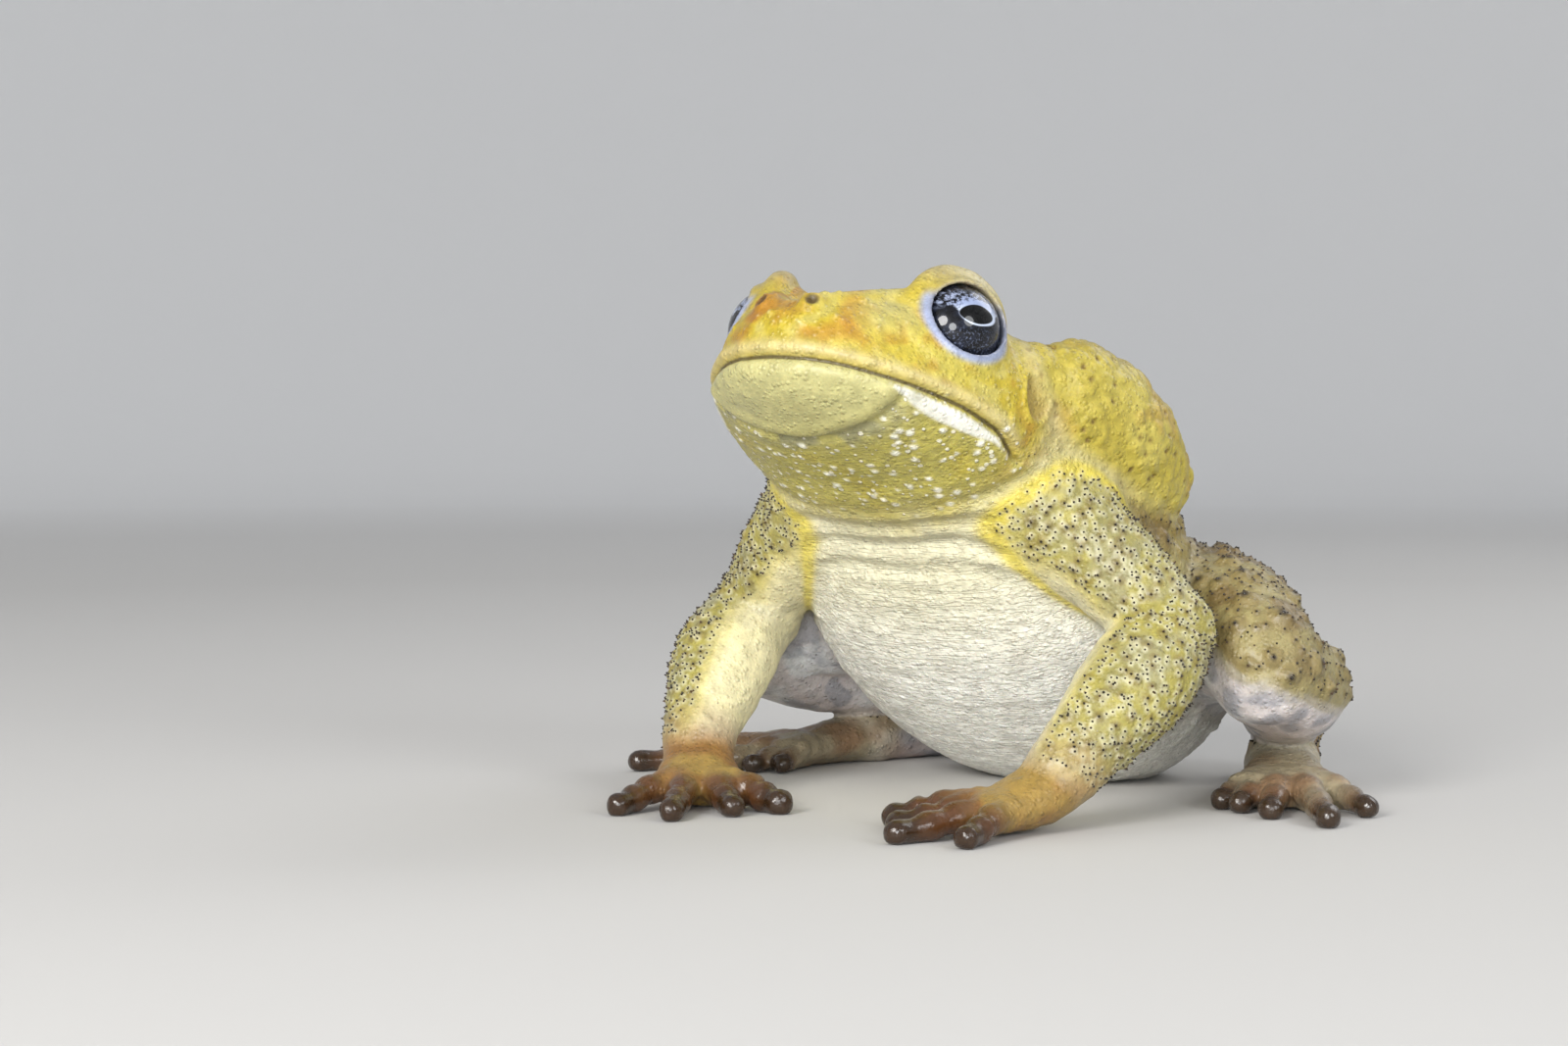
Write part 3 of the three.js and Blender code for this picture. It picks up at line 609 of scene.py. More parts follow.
def add_side(skin, parts, name, side):
    """One side's ridges, eye lids, nostril, gland, arm and leg."""
    out = side["out"]
    for rows in RIDGES:
        skin.join(Field.of(mirrored(limb_surface(crown_places(rows), 24, 16, 4), out)), FILLET["ridge"])
    add_lids(skin, out)
    add_nostril(skin, out)
    for part, rows in LIMBS.items():
        parts[f"{part}_{name}"] = Field.of(mirrored(limb_surface(rows), out))
    for part in PADS:
        parts[f"{part}_{name}"] = pad_field(part, side)

    def near(row, *fillet):
        return soft_near(np.array(row[:3]) * [out, 1, 1], *fillet)

    skin.join(parts[f"gland_{name}"], FILLET["gland"])
    arm = limb_group(parts, name, [
        ("upper_arm", FILLET["seam"]),
        ("forearm", near(FOREARM[0], 9, 4, 0.6)),
        ("hand", FILLET["wrist"]),
    ])
    skin.join(arm, near(UPPER_ARM[0], 17, 7, 0.8))
    leg = limb_group(parts, name, [
        ("thigh", FILLET["seam"]),
        ("shank", near(THIGH[3], 8, 4, 0.6)),
        ("tarsus", near(TARSUS[0], 6, 3, 0.5)),
        ("foot", near(TARSUS[2], 7, 3, 0.5)),
    ])
    skin.join(leg, near(THIGH[0], 20, 8, 0.8))


def build_fields():
    """The skin's field, cut off at the floor, and the field of each part of the body."""
    parts = {
        "trunk": Field.of(section_surface(trunk_points)),
        "head": Field.of(section_surface(head_points, head_place(*SNOUT_TIP))),
    }
    skin = Field.empty(LOW, HIGH)
    skin.join(parts["trunk"], FILLET["seam"])
    skin.join(parts["head"], FILLET["neck"])
    for name, side in SIDES.items():
        add_side(skin, parts, name, side)
    skin.cut(np.broadcast_to(skin.places()[2], skin.values.shape), FILLET["floor"])
    return skin, parts


def hashed(x, y, z, seed):
    """A random share for each whole-numbered cell, the same on every run."""
    n = (x * 73856093) ^ (y * 19349663) ^ (z * 83492791) ^ (seed * 15485863)
    n = ((n ^ (n >> 13)) * 1274126177) & 0x7FFFFFFF
    n = ((n ^ (n >> 15)) * 60493) & 0x7FFFFFFF
    return ((n >> 7) & 0xFFFF) / 65536


def noise(points, size, seed):
    """Smooth random values from -1 to 1 that change over about size millimetres."""
    place = points / size
    cell = np.floor(place).astype(np.int64)
    f = place - cell
    total = np.zeros(len(points))
    for corner, share in corner_shares(f * f * (3 - 2 * f)):
        total += share * hashed(*(cell + corner).T, seed)
    return 2 * total - 1


def warped(points):
    """Points turned off the axes and pushed about a little, so that patches get uneven outlines."""
    turned = points @ np.array([[0.8, 0.36, 0.48], [-0.6, 0.48, 0.64], [0, -0.8, 0.6]])
    return turned + 2.2 * np.stack([noise(points, 4.5, seed) for seed in (61, 62, 63)], 1)


def cells(points, size, seed):
    """Cells round centres scattered about size apart: for each point the distances to the nearest centre and
    to the next, and the nearest one's random share and number."""
    place = points / size
    cell = np.floor(place).astype(np.int64)
    near, after = np.full(len(points), 9.0), np.full(len(points), 9.0)
    owner = np.zeros_like(cell)
    for offset in np.ndindex(3, 3, 3):
        there = cell + np.array(offset) - 1
        centre = there + np.stack([hashed(*there.T, seed + k) for k in range(3)], axis=1)
        distance = np.linalg.norm(place - centre, axis=1)
        closer = distance < near
        after = np.where(closer, near, np.minimum(after, distance))
        near = np.where(closer, distance, near)
        owner[closer] = there[closer]
    number = (owner[:, 0] * 4096 + owner[:, 1]) * 4096 + owner[:, 2]
    return near * size, after * size, hashed(*owner.T, seed + 5), number


def scattered(points, mask, spacing, seed):
    """Vertices of the masked surface that are about spacing apart."""
    chosen = np.flatnonzero(mask > 0.5)
    near, _, _, number = cells(points[chosen], spacing, seed)
    order = np.lexsort((near, number))
    first = np.ones(len(order), bool)
    first[1:] = number[order][1:] != number[order][:-1]
    picks = order[first]
    return chosen[picks[near[picks] < 0.4 * spacing]]


def nearest(points, centres):
    """The number of the nearest of the centres to each point, and its distance."""
    tree = KDTree(len(centres))
    for i, centre in enumerate(centres):
        tree.insert(centre, i)
    tree.balance()
    index, distance = np.array([tree.find(p)[1:] for p in points]).T
    return index.astype(int), distance


def normals_of(points, quads):
    corners = points[quads]
    face = np.cross(corners[:, 2] - corners[:, 0], corners[:, 3] - corners[:, 1])
    total = np.zeros_like(points)
    for corner in range(4):
        for axis in range(3):
            total[:, axis] += np.bincount(quads[:, corner], face[:, axis], len(points))
    return unit(total)


def trunk_place(points):
    """Each point's share of the way from the vent to the neck, and from the belly to the back."""
    t = np.linspace(0, 1, 60)
    rows = row_at(TRUNK, t)
    back, belly = rows[:, :2], rows[:, 2:4]
    run = back - belly
    length = np.linalg.norm(run, axis=1)
    best = np.full(len(points), 1e9)
    share_t, share_up = np.zeros(len(points)), np.zeros(len(points))
    for i in range(len(t)):
        offset = points[:, 1:] - belly[i]
        up = offset @ run[i] / length[i] ** 2
        aside = np.abs(offset[:, 0] * run[i, 1] - offset[:, 1] * run[i, 0]) / length[i]
        aside += 20 * np.maximum(0, np.abs(up - 0.5) - 0.7)
        closer = aside < best
        best[closer], share_t[closer], share_up[closer] = aside[closer], t[i], up[closer]
    return share_t, share_up


class Surface:
    """The skin's vertices, with what is known of each: its part of the body and its place on it.

    Each of PARTS is here by its name, as the share that it has in a vertex.
    """

    def __init__(self, points, quads, parts):
        self.points = points
        self.normals = normals_of(points, quads)
        self.forward, self.out, self.up = head_coordinates(points)
        self.aside = np.abs(self.out)
        self.lengthwise, self.height = trunk_place(points)
        near = {
            part: [field.at(points) for name, field in parts.items() if name.startswith(part)]
            for part in PARTS
        }
        raw = {part: np.exp(-np.maximum(0, np.minimum.reduce(near[part])) / BLEND_WIDTH) for part in PARTS}
        total = sum(raw.values())
        vars(self).update({part: raw[part] / total for part in PARTS})
        self.arm = self.upper_arm + self.forearm
        self.leg = self.thigh + self.shank + self.tarsus
        self.skyward = self.normals[:, 2]
        self.outward = self.normals[:, 0] * np.sign(points[:, 0])
        self.turned = self.outward + 0.35 * self.skyward - 0.4 * self.normals[:, 1] - 0.1
        self.mouth = self.up - np.interp(self.forward, *zip(*reversed(MOUTH)))
        ahead, above = self.forward - EAR_PLACE[0], self.up - EAR_PLACE[2]
        self.ear = np.hypot(ahead / EAR_SIZE[0], above / EAR_SIZE[1])
        self.outside, self.sine, self.depth = self.eye_places()

    def eye_places(self):
        """In the nearer eye's frame: distance outside the opening, sine of the angle round it, and depth."""
        result = np.full((3, len(self.points)), 99.0)
        for side in SIDES.values():
            mine = self.points[:, 0] * side["out"] > 0
            a, v, l = eye_coordinates(*self.points[mine].T, side["out"])
            result[:, mine] = opening_distance(a, v), v / np.maximum(np.hypot(a, v), 0.001), l
        return result


class Relief:
    """How far each vertex stands out of the plain skin, the masks that this leaves for the colours, and the
    roots of the horny points, each group as vertices and radii."""

    def __init__(self, skin):
        self.lift = np.zeros(len(skin.points))
        self.masks = {}
        self.roots = []
        self.rng = np.random.default_rng(7)
        self.flank = skin.trunk * step(0.12, 0.3, skin.height) * (1 - step(0.6, 0.75, skin.height))


def jaw_band(forward, mouth):
    """The smooth white band below the mouth, pointed at both ends."""
    share = clamp((forward - 7) / 21.5) ** 1.3
    width = 0.2 + 2.3 * np.sin(np.pi * share) ** 0.8
    return step(-width - 0.35, -width + 0.1, mouth) * (1 - step(-0.8, -0.5, mouth))


def shape_head(relief, skin):
    """The lips, the dip of the crown, the hollow in front of the eye, and the ear."""
    forward, mouth, ear = skin.forward, skin.mouth, skin.ear
    face = skin.head * step(3.5, 7, forward)
    lips = -0.85 * ridge(mouth, 0, 0.5) + 0.4 * ridge(mouth, 1.5, 1.1) + 0.32 * ridge(mouth, -1.6, 1.2)
    relief.lift += face * lips
    crown = skin.head * step(0.3, 0.8, skin.skyward)
    relief.lift -= crown * 1.1 * ridge(skin.aside, 0, 6.5) * step(4, 10, forward) * (1 - step(27, 32, forward))
    hollow = face * ridge(skin.up, 6.4, 2.6) * step(21, 25, forward) * (1 - step(30, 33.5, forward))
    relief.lift -= 0.7 * hollow
    drum = skin.head * (skin.aside > EAR_PLACE[1] - 6)
    relief.lift += drum * (0.5 * ridge(ear, 1.1, 0.15) - 0.35 * (1 - step(0.75, 1.0, ear)))
    relief.masks["drum"] = drum * (1 - step(0.85, 1.0, ear))
    relief.masks["band"] = face * jaw_band(forward, mouth)


def shape_folds(relief, skin):
    """The chin's fold, the creases below the neck, low wrinkles, cobbled skin and the throat's granules."""
    p, forward, masks = skin.points, skin.forward, relief.masks
    under = step(0.1, -0.35, skin.skyward) * (skin.head + skin.trunk)
    arc = forward - 0.006 * skin.aside**2 + 0.5 * noise(p, 9, 3)
    # The band at the chin's fold, which is given painted shade and more granules
    masks["chin"] = ridge(arc, 23.6, 2.2) * under * skin.head
    fold = ridge(arc, 24.5, 0.9) * under * skin.head
    relief.lift += 0.35 * ridge(arc, 26.6, 1.5) * under * skin.head - 0.65 * fold
    collar = under * step(-9, -5, forward) * (1 - step(3, 7, forward)) * (1 - step(-8, -1, skin.up))
    wave = np.sin((forward + 0.012 * skin.aside**2) * 2 * np.pi / 4.2 + 1.6 * noise(p, 10, 5))
    relief.lift += 0.42 * collar * wave

    wave = noise(p * [0.25, 1, 1.2], 3, 11) + 0.6 * noise(p * [0.2, 1, 1.2], 1.5, 12)
    belly = skin.trunk * (1 - step(0.2, 0.42, skin.height))
    relief.lift += (0.34 * relief.flank + 0.16 * belly) * wave
    limbs = 1 - clamp(skin.head + skin.trunk + skin.gland)
    relief.lift += 0.22 * limbs * noise(p, 2.6, 14) * (1 - skin.hand) * (1 - skin.foot)
    relief.lift += 0.16 * (skin.hand + skin.foot) * noise(p, 1.5, 15)

    near, after, _, _ = cells(p, 1.5, 21)
    throat = under * skin.head * step(25.5, 23.5, arc)
    grainy = clamp(belly + 0.5 * relief.flank + 0.9 * throat) * (1 - masks["band"])
    relief.lift += 0.1 * grainy * (clamp((after - near) / 0.75) - 0.5)
    near, _, mark, _ = cells(p, 2.0, 23)
    bead = dome(near, mix(0.45, 0.85, mark)) * (mark > 0.3 - 0.3 * masks["chin"])
    masks["throat"] = throat * (1 - masks["band"])
    masks["granule"] = masks["throat"] * bead
    relief.lift += 0.3 * masks["granule"]


def shape_warts(relief, skin):
    """Warts of several sizes, with dark tips and rings, and the small studs of the arms."""
    p, masks = skin.points, relief.masks
    back = skin.trunk * step(0.5, 0.68, skin.height)
    arms = skin.arm * step(-0.1, 0.35, skin.turned)
    legs = skin.leg * step(0, 0.4, skin.skyward + 0.45 * skin.outward)
    crown = skin.head * step(0.25, 0.6, skin.skyward) * (skin.outside > 3.5)
    cheek = skin.head * step(-2, 1, skin.mouth) * (1 - step(9, 14, skin.forward))
    cheek *= (skin.outside > 2.5) * (skin.ear > 1.4)
    masks["back"], masks["rough"] = back, clamp(back + arms + legs)
    masks["tips"] = np.zeros(len(p))
    masks["rings"] = np.zeros(len(p))
    bare = skin.gland < 0.2
    for area, spacing, small, large, seed in (
        (back * bare, 6.8, 1.8, 3.1, 31),
        (clamp(back + 0.9 * relief.flank) * bare, 3.3, 0.7, 1.3, 32),
        (legs, 5.0, 1.2, 2.1, 33),
        (clamp(legs + arms), 2.3, 0.5, 0.85, 34),
        (clamp(cheek + 0.8 * crown), 2.8, 0.45, 0.8, 35),
    ):
        picks = scattered(p, area, spacing, seed)
        radius = mix(small, large, relief.rng.random(len(picks)) ** 1.5)
        index, distance = nearest(p, p[picks])
        r = radius[index]
        relief.lift += 0.5 * r * dome(distance, r * 1.15) * mix(0.55, 1, step(0.4, 0.9, area))
        masks["tips"] = np.maximum(masks["tips"], 1 - step(0.18, 0.5, distance / r))
        masks["rings"] = np.maximum(masks["rings"], 1 - step(0.9, 1.7, distance / r))
        relief.roots.append((picks, radius))

    studs = scattered(p, arms * (arms > 0.45), 1.15, 43)
    _, distance = nearest(p, p[studs])
    masks["studs"] = arms * (1 - step(0.3, 0.65, distance))
    relief.lift += 0.14 * arms * dome(distance, 0.6)
    relief.roots.append((studs, mix(0.1, 0.7, relief.rng.random(len(studs)))))


def shape_glands(relief, skin):
    """The glands' lumps, pits and pores."""
    p = skin.points
    pores = scattered(p, skin.gland, 2.3, 41)
    index, distance = nearest(p, p[pores])
    open_pores = relief.rng.random(len(pores)) < 0.5
    relief.masks["pores"] = skin.gland * (1 - step(0.22, 0.58, distance)) * open_pores[index]
    near, after, _, _ = cells(p, 2.7, 45)
    pitted = clamp((after - near) / 1.3) - 0.5
    bumps = 0.42 * noise(p, 5.5, 44) + 0.16 * noise(p, 2.2, 42) + 0.3 * pitted - 0.25 * relief.masks["pores"]
    relief.lift += skin.gland * bumps


def shaped(skin):
    """The skin's relief, which is nearly flat on the lids."""
    relief = Relief(skin)
    for shape in (shape_head, shape_folds, shape_warts, shape_glands):
        shape(relief, skin)
    lids = step(4.5, 3.0, skin.outside) * skin.head
    relief.lift *= 1 - 0.85 * lids * (skin.depth > -2)
    return relief


def colour_of(name):
    """A colour as linear light."""
    value = np.array(COLOURS[name]) / 255
    return np.where(value <= 0.04045, value / 12.92, ((value + 0.055) / 1.055) ** 2.4)


class Coat:
    """The colour of every vertex, put on in layers, with patchy noises and masks."""

    def __init__(self, skin, masks):
        p = skin.points
        bent = warped(p)
        self.masks = masks
        self.broad, self.medium, self.fine = noise(bent, 16, 51), noise(bent, 6, 52), noise(p, 2.2, 53)
        self.mottle = noise(bent, 3.2, 58) + 0.5 * noise(p, 1.3, 59)
        self.height = skin.height + 0.05 * self.medium + 0.03 * self.fine
        self.turned = skin.turned + 0.12 * self.medium
        self.colour = np.tile(colour_of("belly"), (len(p), 1)).astype(float)

    def layer(self, name, mask):
        self.colour = mix(self.colour, colour_of(name), clamp(mask)[:, None])


def paint_trunk(coat, skin):
    """The white belly, and the brown patches of the olive back."""
    height, medium = coat.height, coat.medium
    coat.layer("cloud", 0.4 * step(0.1, 0.7, noise(skin.points * [1, 0.6, 1.6], 4.5, 54)))
    chest = skin.trunk * step(0.62, 0.85, skin.lengthwise)
    coat.layer("cream", 0.75 * chest)
    coat.layer("lemon", 0.7 * chest * step(0.15, 0.45, height))
    flank = skin.trunk * step(0.26, 0.44, height)
    coat.layer("flank", 0.9 * flank)
    back = skin.trunk * step(0.5, 0.66, height)
    coat.layer("olive", back)
    coat.layer("straw", back * step(0.1, 0.6, coat.broad))
    coat.layer("brown", 0.8 * back * step(0.15, 0.5, medium + 0.35 * coat.fine))
    coat.masks["trunk_specks"] = 0.35 * flank + 0.6 * back + 0.12 * skin.trunk


def paint_face(coat, skin):
    """The mottled yellow face, with an olive crown, ochre ridges and a grey patch on the snout."""
    forward, aside, mouth, skyward = skin.forward, skin.aside, skin.mouth, skin.skyward
    medium, fine, mottle = coat.medium, coat.fine, coat.mottle
    face = clamp(skin.head * 1.05)
    coat.masks["face"] = face
    coat.layer("yellow", face)
    coat.layer("lemon", 0.75 * face * step(-0.2, 0.7, medium))
    coat.layer("amber", 0.7 * face * step(0.1, 0.7, mottle) * (mouth > 1.5))
    coat.layer("primrose", 0.5 * face * step(0.2, 0.8, -mottle))
    coat.layer("crown", 0.75 * face * step(0.35, 0.8, skyward) * step(-0.3, 0.5, coat.broad))
    crown = face * step(0.55, 0.92, skyward)
    coat.layer("olive", 0.75 * crown * step(27, 6, forward + 4 * medium))
    coat.layer("brown", 0.55 * crown * step(0.1, 0.5, medium + 0.5 * fine) * step(24, 8, forward))
    crest = ridge(aside - np.interp(forward, [4, 20, 33], [13, 11, 4]), 0, 2.2) * step(0.1, 0.5, skyward)
    coat.layer("ochre", 0.85 * face * crest * step(-0.5, 0.4, medium + 0.6 * fine))
    snout = face * step(27, 33, forward) * step(2.5, 6, skin.up)
    coat.layer("ochre", 0.75 * snout * step(-0.2, 0.6, medium + 0.5 * fine))
    tip = face * ridge(aside, 5.5, 2.6) * step(30, 34, forward) * (mouth > 0.8)
    coat.layer("tawny", 0.6 * tip * step(-0.4, 0.3, mottle))
    coat.layer("grey", 0.75 * face * ridge(forward, 30, 3) * ridge(aside, 0, 3.2) * (skyward > 0.3))
    coat.layer("ochre", 0.6 * face * (mouth > 3) * step(14, 4, forward) * step(0, 0.7, medium + 0.5 * fine))


def paint_jaw(coat, skin):
    """The throat, the pale lip and chin, the jaw's white band, painted shade in the chin's fold, and granules.
    """
    forward, mouth, face = skin.forward, skin.mouth, coat.masks["face"]
    below = 1 - step(-0.35, 0.1, mouth)
    coat.layer("throat", face * below)
    coat.layer("chin", face * below * step(20, 30, forward) * 0.85)
    coat.layer("yellow", 0.65 * face * below * step(0.0, 0.7, coat.medium) * (1 - step(20, 25, forward)))
    coat.layer("lip", 0.75 * face * step(4, 9, forward) * ridge(mouth, 1.3, 1.1) * (mouth > 0))
    coat.layer("white", 0.95 * coat.masks["band"])
    # Grey-green painted shade in and under the chin's fold
    coat.layer("fold", 0.75 * coat.masks["chin"] * step(-0.3, 0.4, coat.fine))
    coat.layer("granule", 0.9 * step(0.1, 0.6, coat.masks["granule"]))


def paint_eyes(coat, skin):
    """Brows, blue lower lids and dark rims, painted shade in the nostrils, the mouth's corners and the ears.
    """
    near_eye = skin.head * (skin.depth > -1.5)
    brow = near_eye * step(4.6, 2.4, skin.outside) * step(0.1, 0.4, skin.sine)
    coat.layer("yellow", 0.9 * brow)
    coat.layer("brow", 0.4 * brow * step(0, 0.6, coat.fine))
    lower_lid = near_eye * step(1.8, 0.8, skin.outside) * (1 - step(0.35, 0.7, skin.sine))
    coat.masks["lower_lid"] = lower_lid
    coat.layer("lid", 0.92 * lower_lid)
    # The nostrils' openings are painted dark: painted shade in their pits
    for side in SIDES.values():
        away = np.linalg.norm(skin.points - nostril_places(side["out"])[1], axis=1)
        coat.layer("nostril", 0.9 * (1 - step(0.8, 1.3, away)))
    corner = coat.masks["face"] * ridge(skin.forward, 4.5, 3.5) * ridge(skin.mouth, 0.5, 3.5)
    coat.masks["corner"] = corner
    coat.layer("corner", 0.5 * corner * step(-0.1, 0.6, coat.mottle))
    coat.layer("lid_edge", 0.7 * (near_eye * step(0.75, 0.2, skin.outside)))
    coat.layer("drum", 0.75 * coat.masks["drum"])


def paint_glands(coat, skin):
    gland = skin.gland
    coat.layer("gland", gland * 1.1)
    coat.layer("gland_light", 0.6 * gland * step(-0.1, 0.7, coat.medium))
    coat.layer("gland_patch", 0.55 * gland * step(0.1, 0.7, noise(skin.points, 8, 57) + 0.4 * coat.fine))
    coat.layer("olive", 0.65 * gland * step(0.45, 0.9, skin.skyward + 0.3 * coat.medium))


def paint_arms(coat, skin):
    """Cream arms that are olive on their outer side, with grey elbows and yellow armpits."""
    arm, turned, medium, fine = skin.arm, coat.turned, coat.medium, coat.fine
    coat.layer("arm", arm * 1.1)
    coat.layer("arm_yellow", 0.6 * arm * step(-0.35, 0.05, turned))
    coat.layer("arm_olive", 0.92 * arm * step(-0.1, 0.3, turned))
    coat.layer("arm_shade", 0.55 * arm * step(0.1, 0.7, turned) * step(-0.2, 0.5, medium + 0.5 * fine))
    offset = skin.points * [1, 0.8, 1] - [0, -33, 27] - np.outer(np.sign(skin.points[:, 0]), [37, 0, 0])
    elbow = arm * np.exp(-((np.linalg.norm(offset, axis=1) / 11) ** 2))
    coat.layer("elbow", 0.5 * elbow * step(-0.2, 0.5, fine + medium))
    armpit = step(0.1, 0.4, np.minimum(skin.trunk + skin.gland + skin.head, skin.upper_arm))
    coat.layer("armpit", 0.8 * armpit)


def along_digits(skin, part):
    """How far along the digits of a hand or foot each vertex is, from 0 at the roots to 1 at the tips."""
    result = np.zeros(len(skin.points))
    for side in SIDES.values():
        best = np.full(len(result), 6.0)
        mine = skin.points[:, 0] * side["out"] > 0
        flat = skin.points[:, :2] * [side["out"], 1]
        for digit in digit_fan(part, side):
            offset = flat - digit["root"]
            along = offset @ digit["direction"]
            away = np.abs(offset[:, 0] * digit["direction"][1] - offset[:, 1] * digit["direction"][0])
            away += np.maximum(0, -along)
            closer = mine & (away < best)
            best[closer] = away[closer]
            result[closer] = np.clip(along[closer] / digit["length"], 0, 1.05)
    return result


def paint_hands(coat, skin):
    hand, medium = skin.hand, coat.medium
    along = along_digits(skin, "hand")
    coat.layer("hand", hand * 1.1)
    coat.layer("hand_rust", 0.7 * hand * step(-0.2, 0.6, medium + 0.4 * coat.fine + 0.8 * along))
    coat.layer("digit", 0.9 * hand * step(0.02, 0.55, along + 0.12 * medium))
    coat.layer("dark", 0.8 * hand * step(0.6, 0.95, along))
    coat.masks["fingers"] = hand * step(0.2, 0.7, along)


def paint_legs(coat, skin):
    """Brown-patched legs that are white and grey on their inner side."""
    leg, medium = skin.leg, coat.medium
    inner = step(0.15, -0.35, skin.skyward + 0.45 * skin.outward + 0.12 * medium)
    coat.layer("leg", leg * 1.1)
    coat.layer("brown", 0.7 * leg * step(0.2, 0.6, medium + 0.3 * coat.broad))
    coat.layer("pink", leg * inner)
    coat.layer("milk", leg * inner * step(0, 0.6, medium))
    coat.layer("slate", 0.6 * leg * inner * step(0.1, 0.45, noise(skin.points, 2.8, 56)))
    coat.layer("rust", 0.55 * skin.tarsus * step(-0.3, 0.5, medium))


def paint_feet(coat, skin):
    foot = skin.foot
    along = along_digits(skin, "foot")
    coat.layer("foot", foot * 1.1)
    coat.layer("foot_rust", 0.7 * foot * step(-0.2, 0.5, coat.medium + 0.3 * coat.fine))
    coat.layer("digit", 0.85 * foot * step(0.5, 0.95, along))
    coat.layer("dark", 0.8 * foot * step(0.85, 1.0, along))
    coat.masks["toes"] = foot * step(0.5, 0.9, along)


def paint_warts(coat, skin):
    masks = coat.masks
    coat.layer("wart_ring", 0.45 * masks["rough"] * masks["rings"])
    coat.layer("stud", 0.6 * masks["studs"])
    coat.layer("dark", 0.85 * masks["rough"] * masks["tips"])
    coat.layer("bead", 0.5 * skin.head * masks["tips"] * (1 - masks["rough"]))
    coat.layer("pore", 0.8 * masks["pores"])


def painted(skin, masks):
    """The colours of the skin, and the masks that its material reads."""
    coat = Coat(skin, masks)
    for paint in (
        paint_trunk, paint_face, paint_jaw, paint_eyes, paint_glands,
        paint_arms, paint_hands, paint_legs, paint_feet, paint_warts,
    ):
        paint(coat, skin)
    head_specks = 0.45 * masks["face"] * (skin.mouth > 0.4) + 0.9 * masks["corner"]
    limb_specks = 0.5 * skin.arm * step(-0.3, 0.4, coat.turned) + 0.7 * skin.leg
    flank = skin.trunk * step(0.26, 0.44, coat.height)
    low_trunk = 0.25 * skin.trunk * (coat.height < 0.4)
    return coat.colour, {
        "face": masks["face"] * step(4.5, 7, skin.forward),
        "mouth": np.clip(skin.mouth, -5, 5),
        "speck": clamp(head_specks + limb_specks + masks["trunk_specks"]),
        "grain": clamp(0.9 * masks["throat"] + 0.35 * skin.arm + 0.3 * flank + low_trunk),
        "wrinkle": clamp(skin.trunk * (1 - step(0.45, 0.6, coat.height)) + 0.45 * masks["throat"]),
        "gloss": clamp(0.9 * (masks["fingers"] + masks["toes"]) + masks["lower_lid"]),
        "gland": skin.gland,
    }


class Value:
    """A shader's number or colour, on which arithmetic makes more nodes."""

    def __init__(self, shader, socket):
        self.shader, self.socket = shader, socket

    def output(self, name):
        """Another output of the same node."""
        return Value(self.shader, self.socket.node.outputs[name])

    def __add__(self, other):
        return self.shader.math("ADD", self, other)

    def __sub__(self, other):
        return self.shader.math("SUBTRACT", self, other)

    def __rsub__(self, other):
        return self.shader.math("SUBTRACT", other, self)

    def __mul__(self, other):
        return self.shader.math("MULTIPLY", self, other)

    def __truediv__(self, other):
        return self.shader.math("DIVIDE", self, other)

    def __pow__(self, other):
        return self.shader.math("POWER", self, other)

    def __abs__(self):
        return self.shader.math("ABSOLUTE", self)


class Shader:
    """A material's nodes, made by short calls that give back values."""

    def __init__(self, name):
        self.material = bpy.data.materials.new(name)
        self.material.use_nodes = True
        self.tree = self.material.node_tree

    def put(self, socket, value):
        if isinstance(value, Value):
            self.tree.links.new(value.socket, socket)
        else:
            socket.default_value = value

    def node(self, kind, inputs, output=0, **settings):
        node = self.tree.nodes.new(kind)
        for key, value in settings.items():
            setattr(node, key, value)
        for key, value in dict(inputs).items():
            self.put(node.inputs[key], value)
        return Value(self, node.outputs[output])

    def math(self, operation, *values):
        return self.node("ShaderNodeMath", enumerate(values), operation=operation)

    def step(self, value, low, high, to_low=0.0, to_high=1.0):
        inputs = {"Value": value, "From Min": low, "From Max": high, "To Min": to_low, "To Max": to_high}
        return self.node("ShaderNodeMapRange", inputs, interpolation_type="SMOOTHSTEP")

    def layer(self, under, over, share):
        """A colour laid over another by a share. Each is a value, a name or linear light."""
        node = self.tree.nodes.new("ShaderNodeMix")
        node.data_type = "RGBA"
        sockets = {socket.identifier: socket for socket in (*node.inputs, *node.outputs)}
        self.put(sockets["Factor_Float"], share)
        for key, colour in (("A_Color", under), ("B_Color", over)):
            colour = colour_of(colour) if isinstance(colour, str) else colour
            self.put(sockets[key], colour if isinstance(colour, Value) else (*colour, 1))
        return Value(self, sockets["Result_Color"])

    def attribute(self, name, output="Fac"):
        return self.node("ShaderNodeAttribute", (), output, attribute_name=name)

    def coordinates(self, stretch=(1, 1, 1)):
        """Places in millimetres, each axis stretched."""
        place = self.node("ShaderNodeTexCoord", (), "Object")
        return self.node("ShaderNodeMapping", {"Vector": place, "Scale": [s / MM for s in stretch]})

    def noise(self, place, size, detail=2.0, roughness=0.5):
        inputs = {"Vector": place, "Scale": 1 / size, "Detail": detail, "Roughness": roughness}
        return self.node("ShaderNodeTexNoise", inputs)

    def spots(self, place, size, amount, spread, soft=0.16):
        """Round spots about size apart, more and larger by amount: how deep inside one a place is."""
        cell = self.node("ShaderNodeTexVoronoi", {"Vector": place, "Scale": 1 / size}, "Color")
        chance = self.node("ShaderNodeSeparateColor", {"Color": cell})
        return self.step((amount - chance) * spread - cell.output("Distance"), 0, soft)

    def bump(self, height):
        """Relief from a height in millimetres."""
        return self.node("ShaderNodeBump", {"Height": height, "Distance": MM})

    def finished(self, inputs):
        """The material, with its surface's inputs set."""
        for key, value in inputs.items():
            self.put(self.tree.nodes["Principled BSDF"].inputs[key], value)
        return self.material


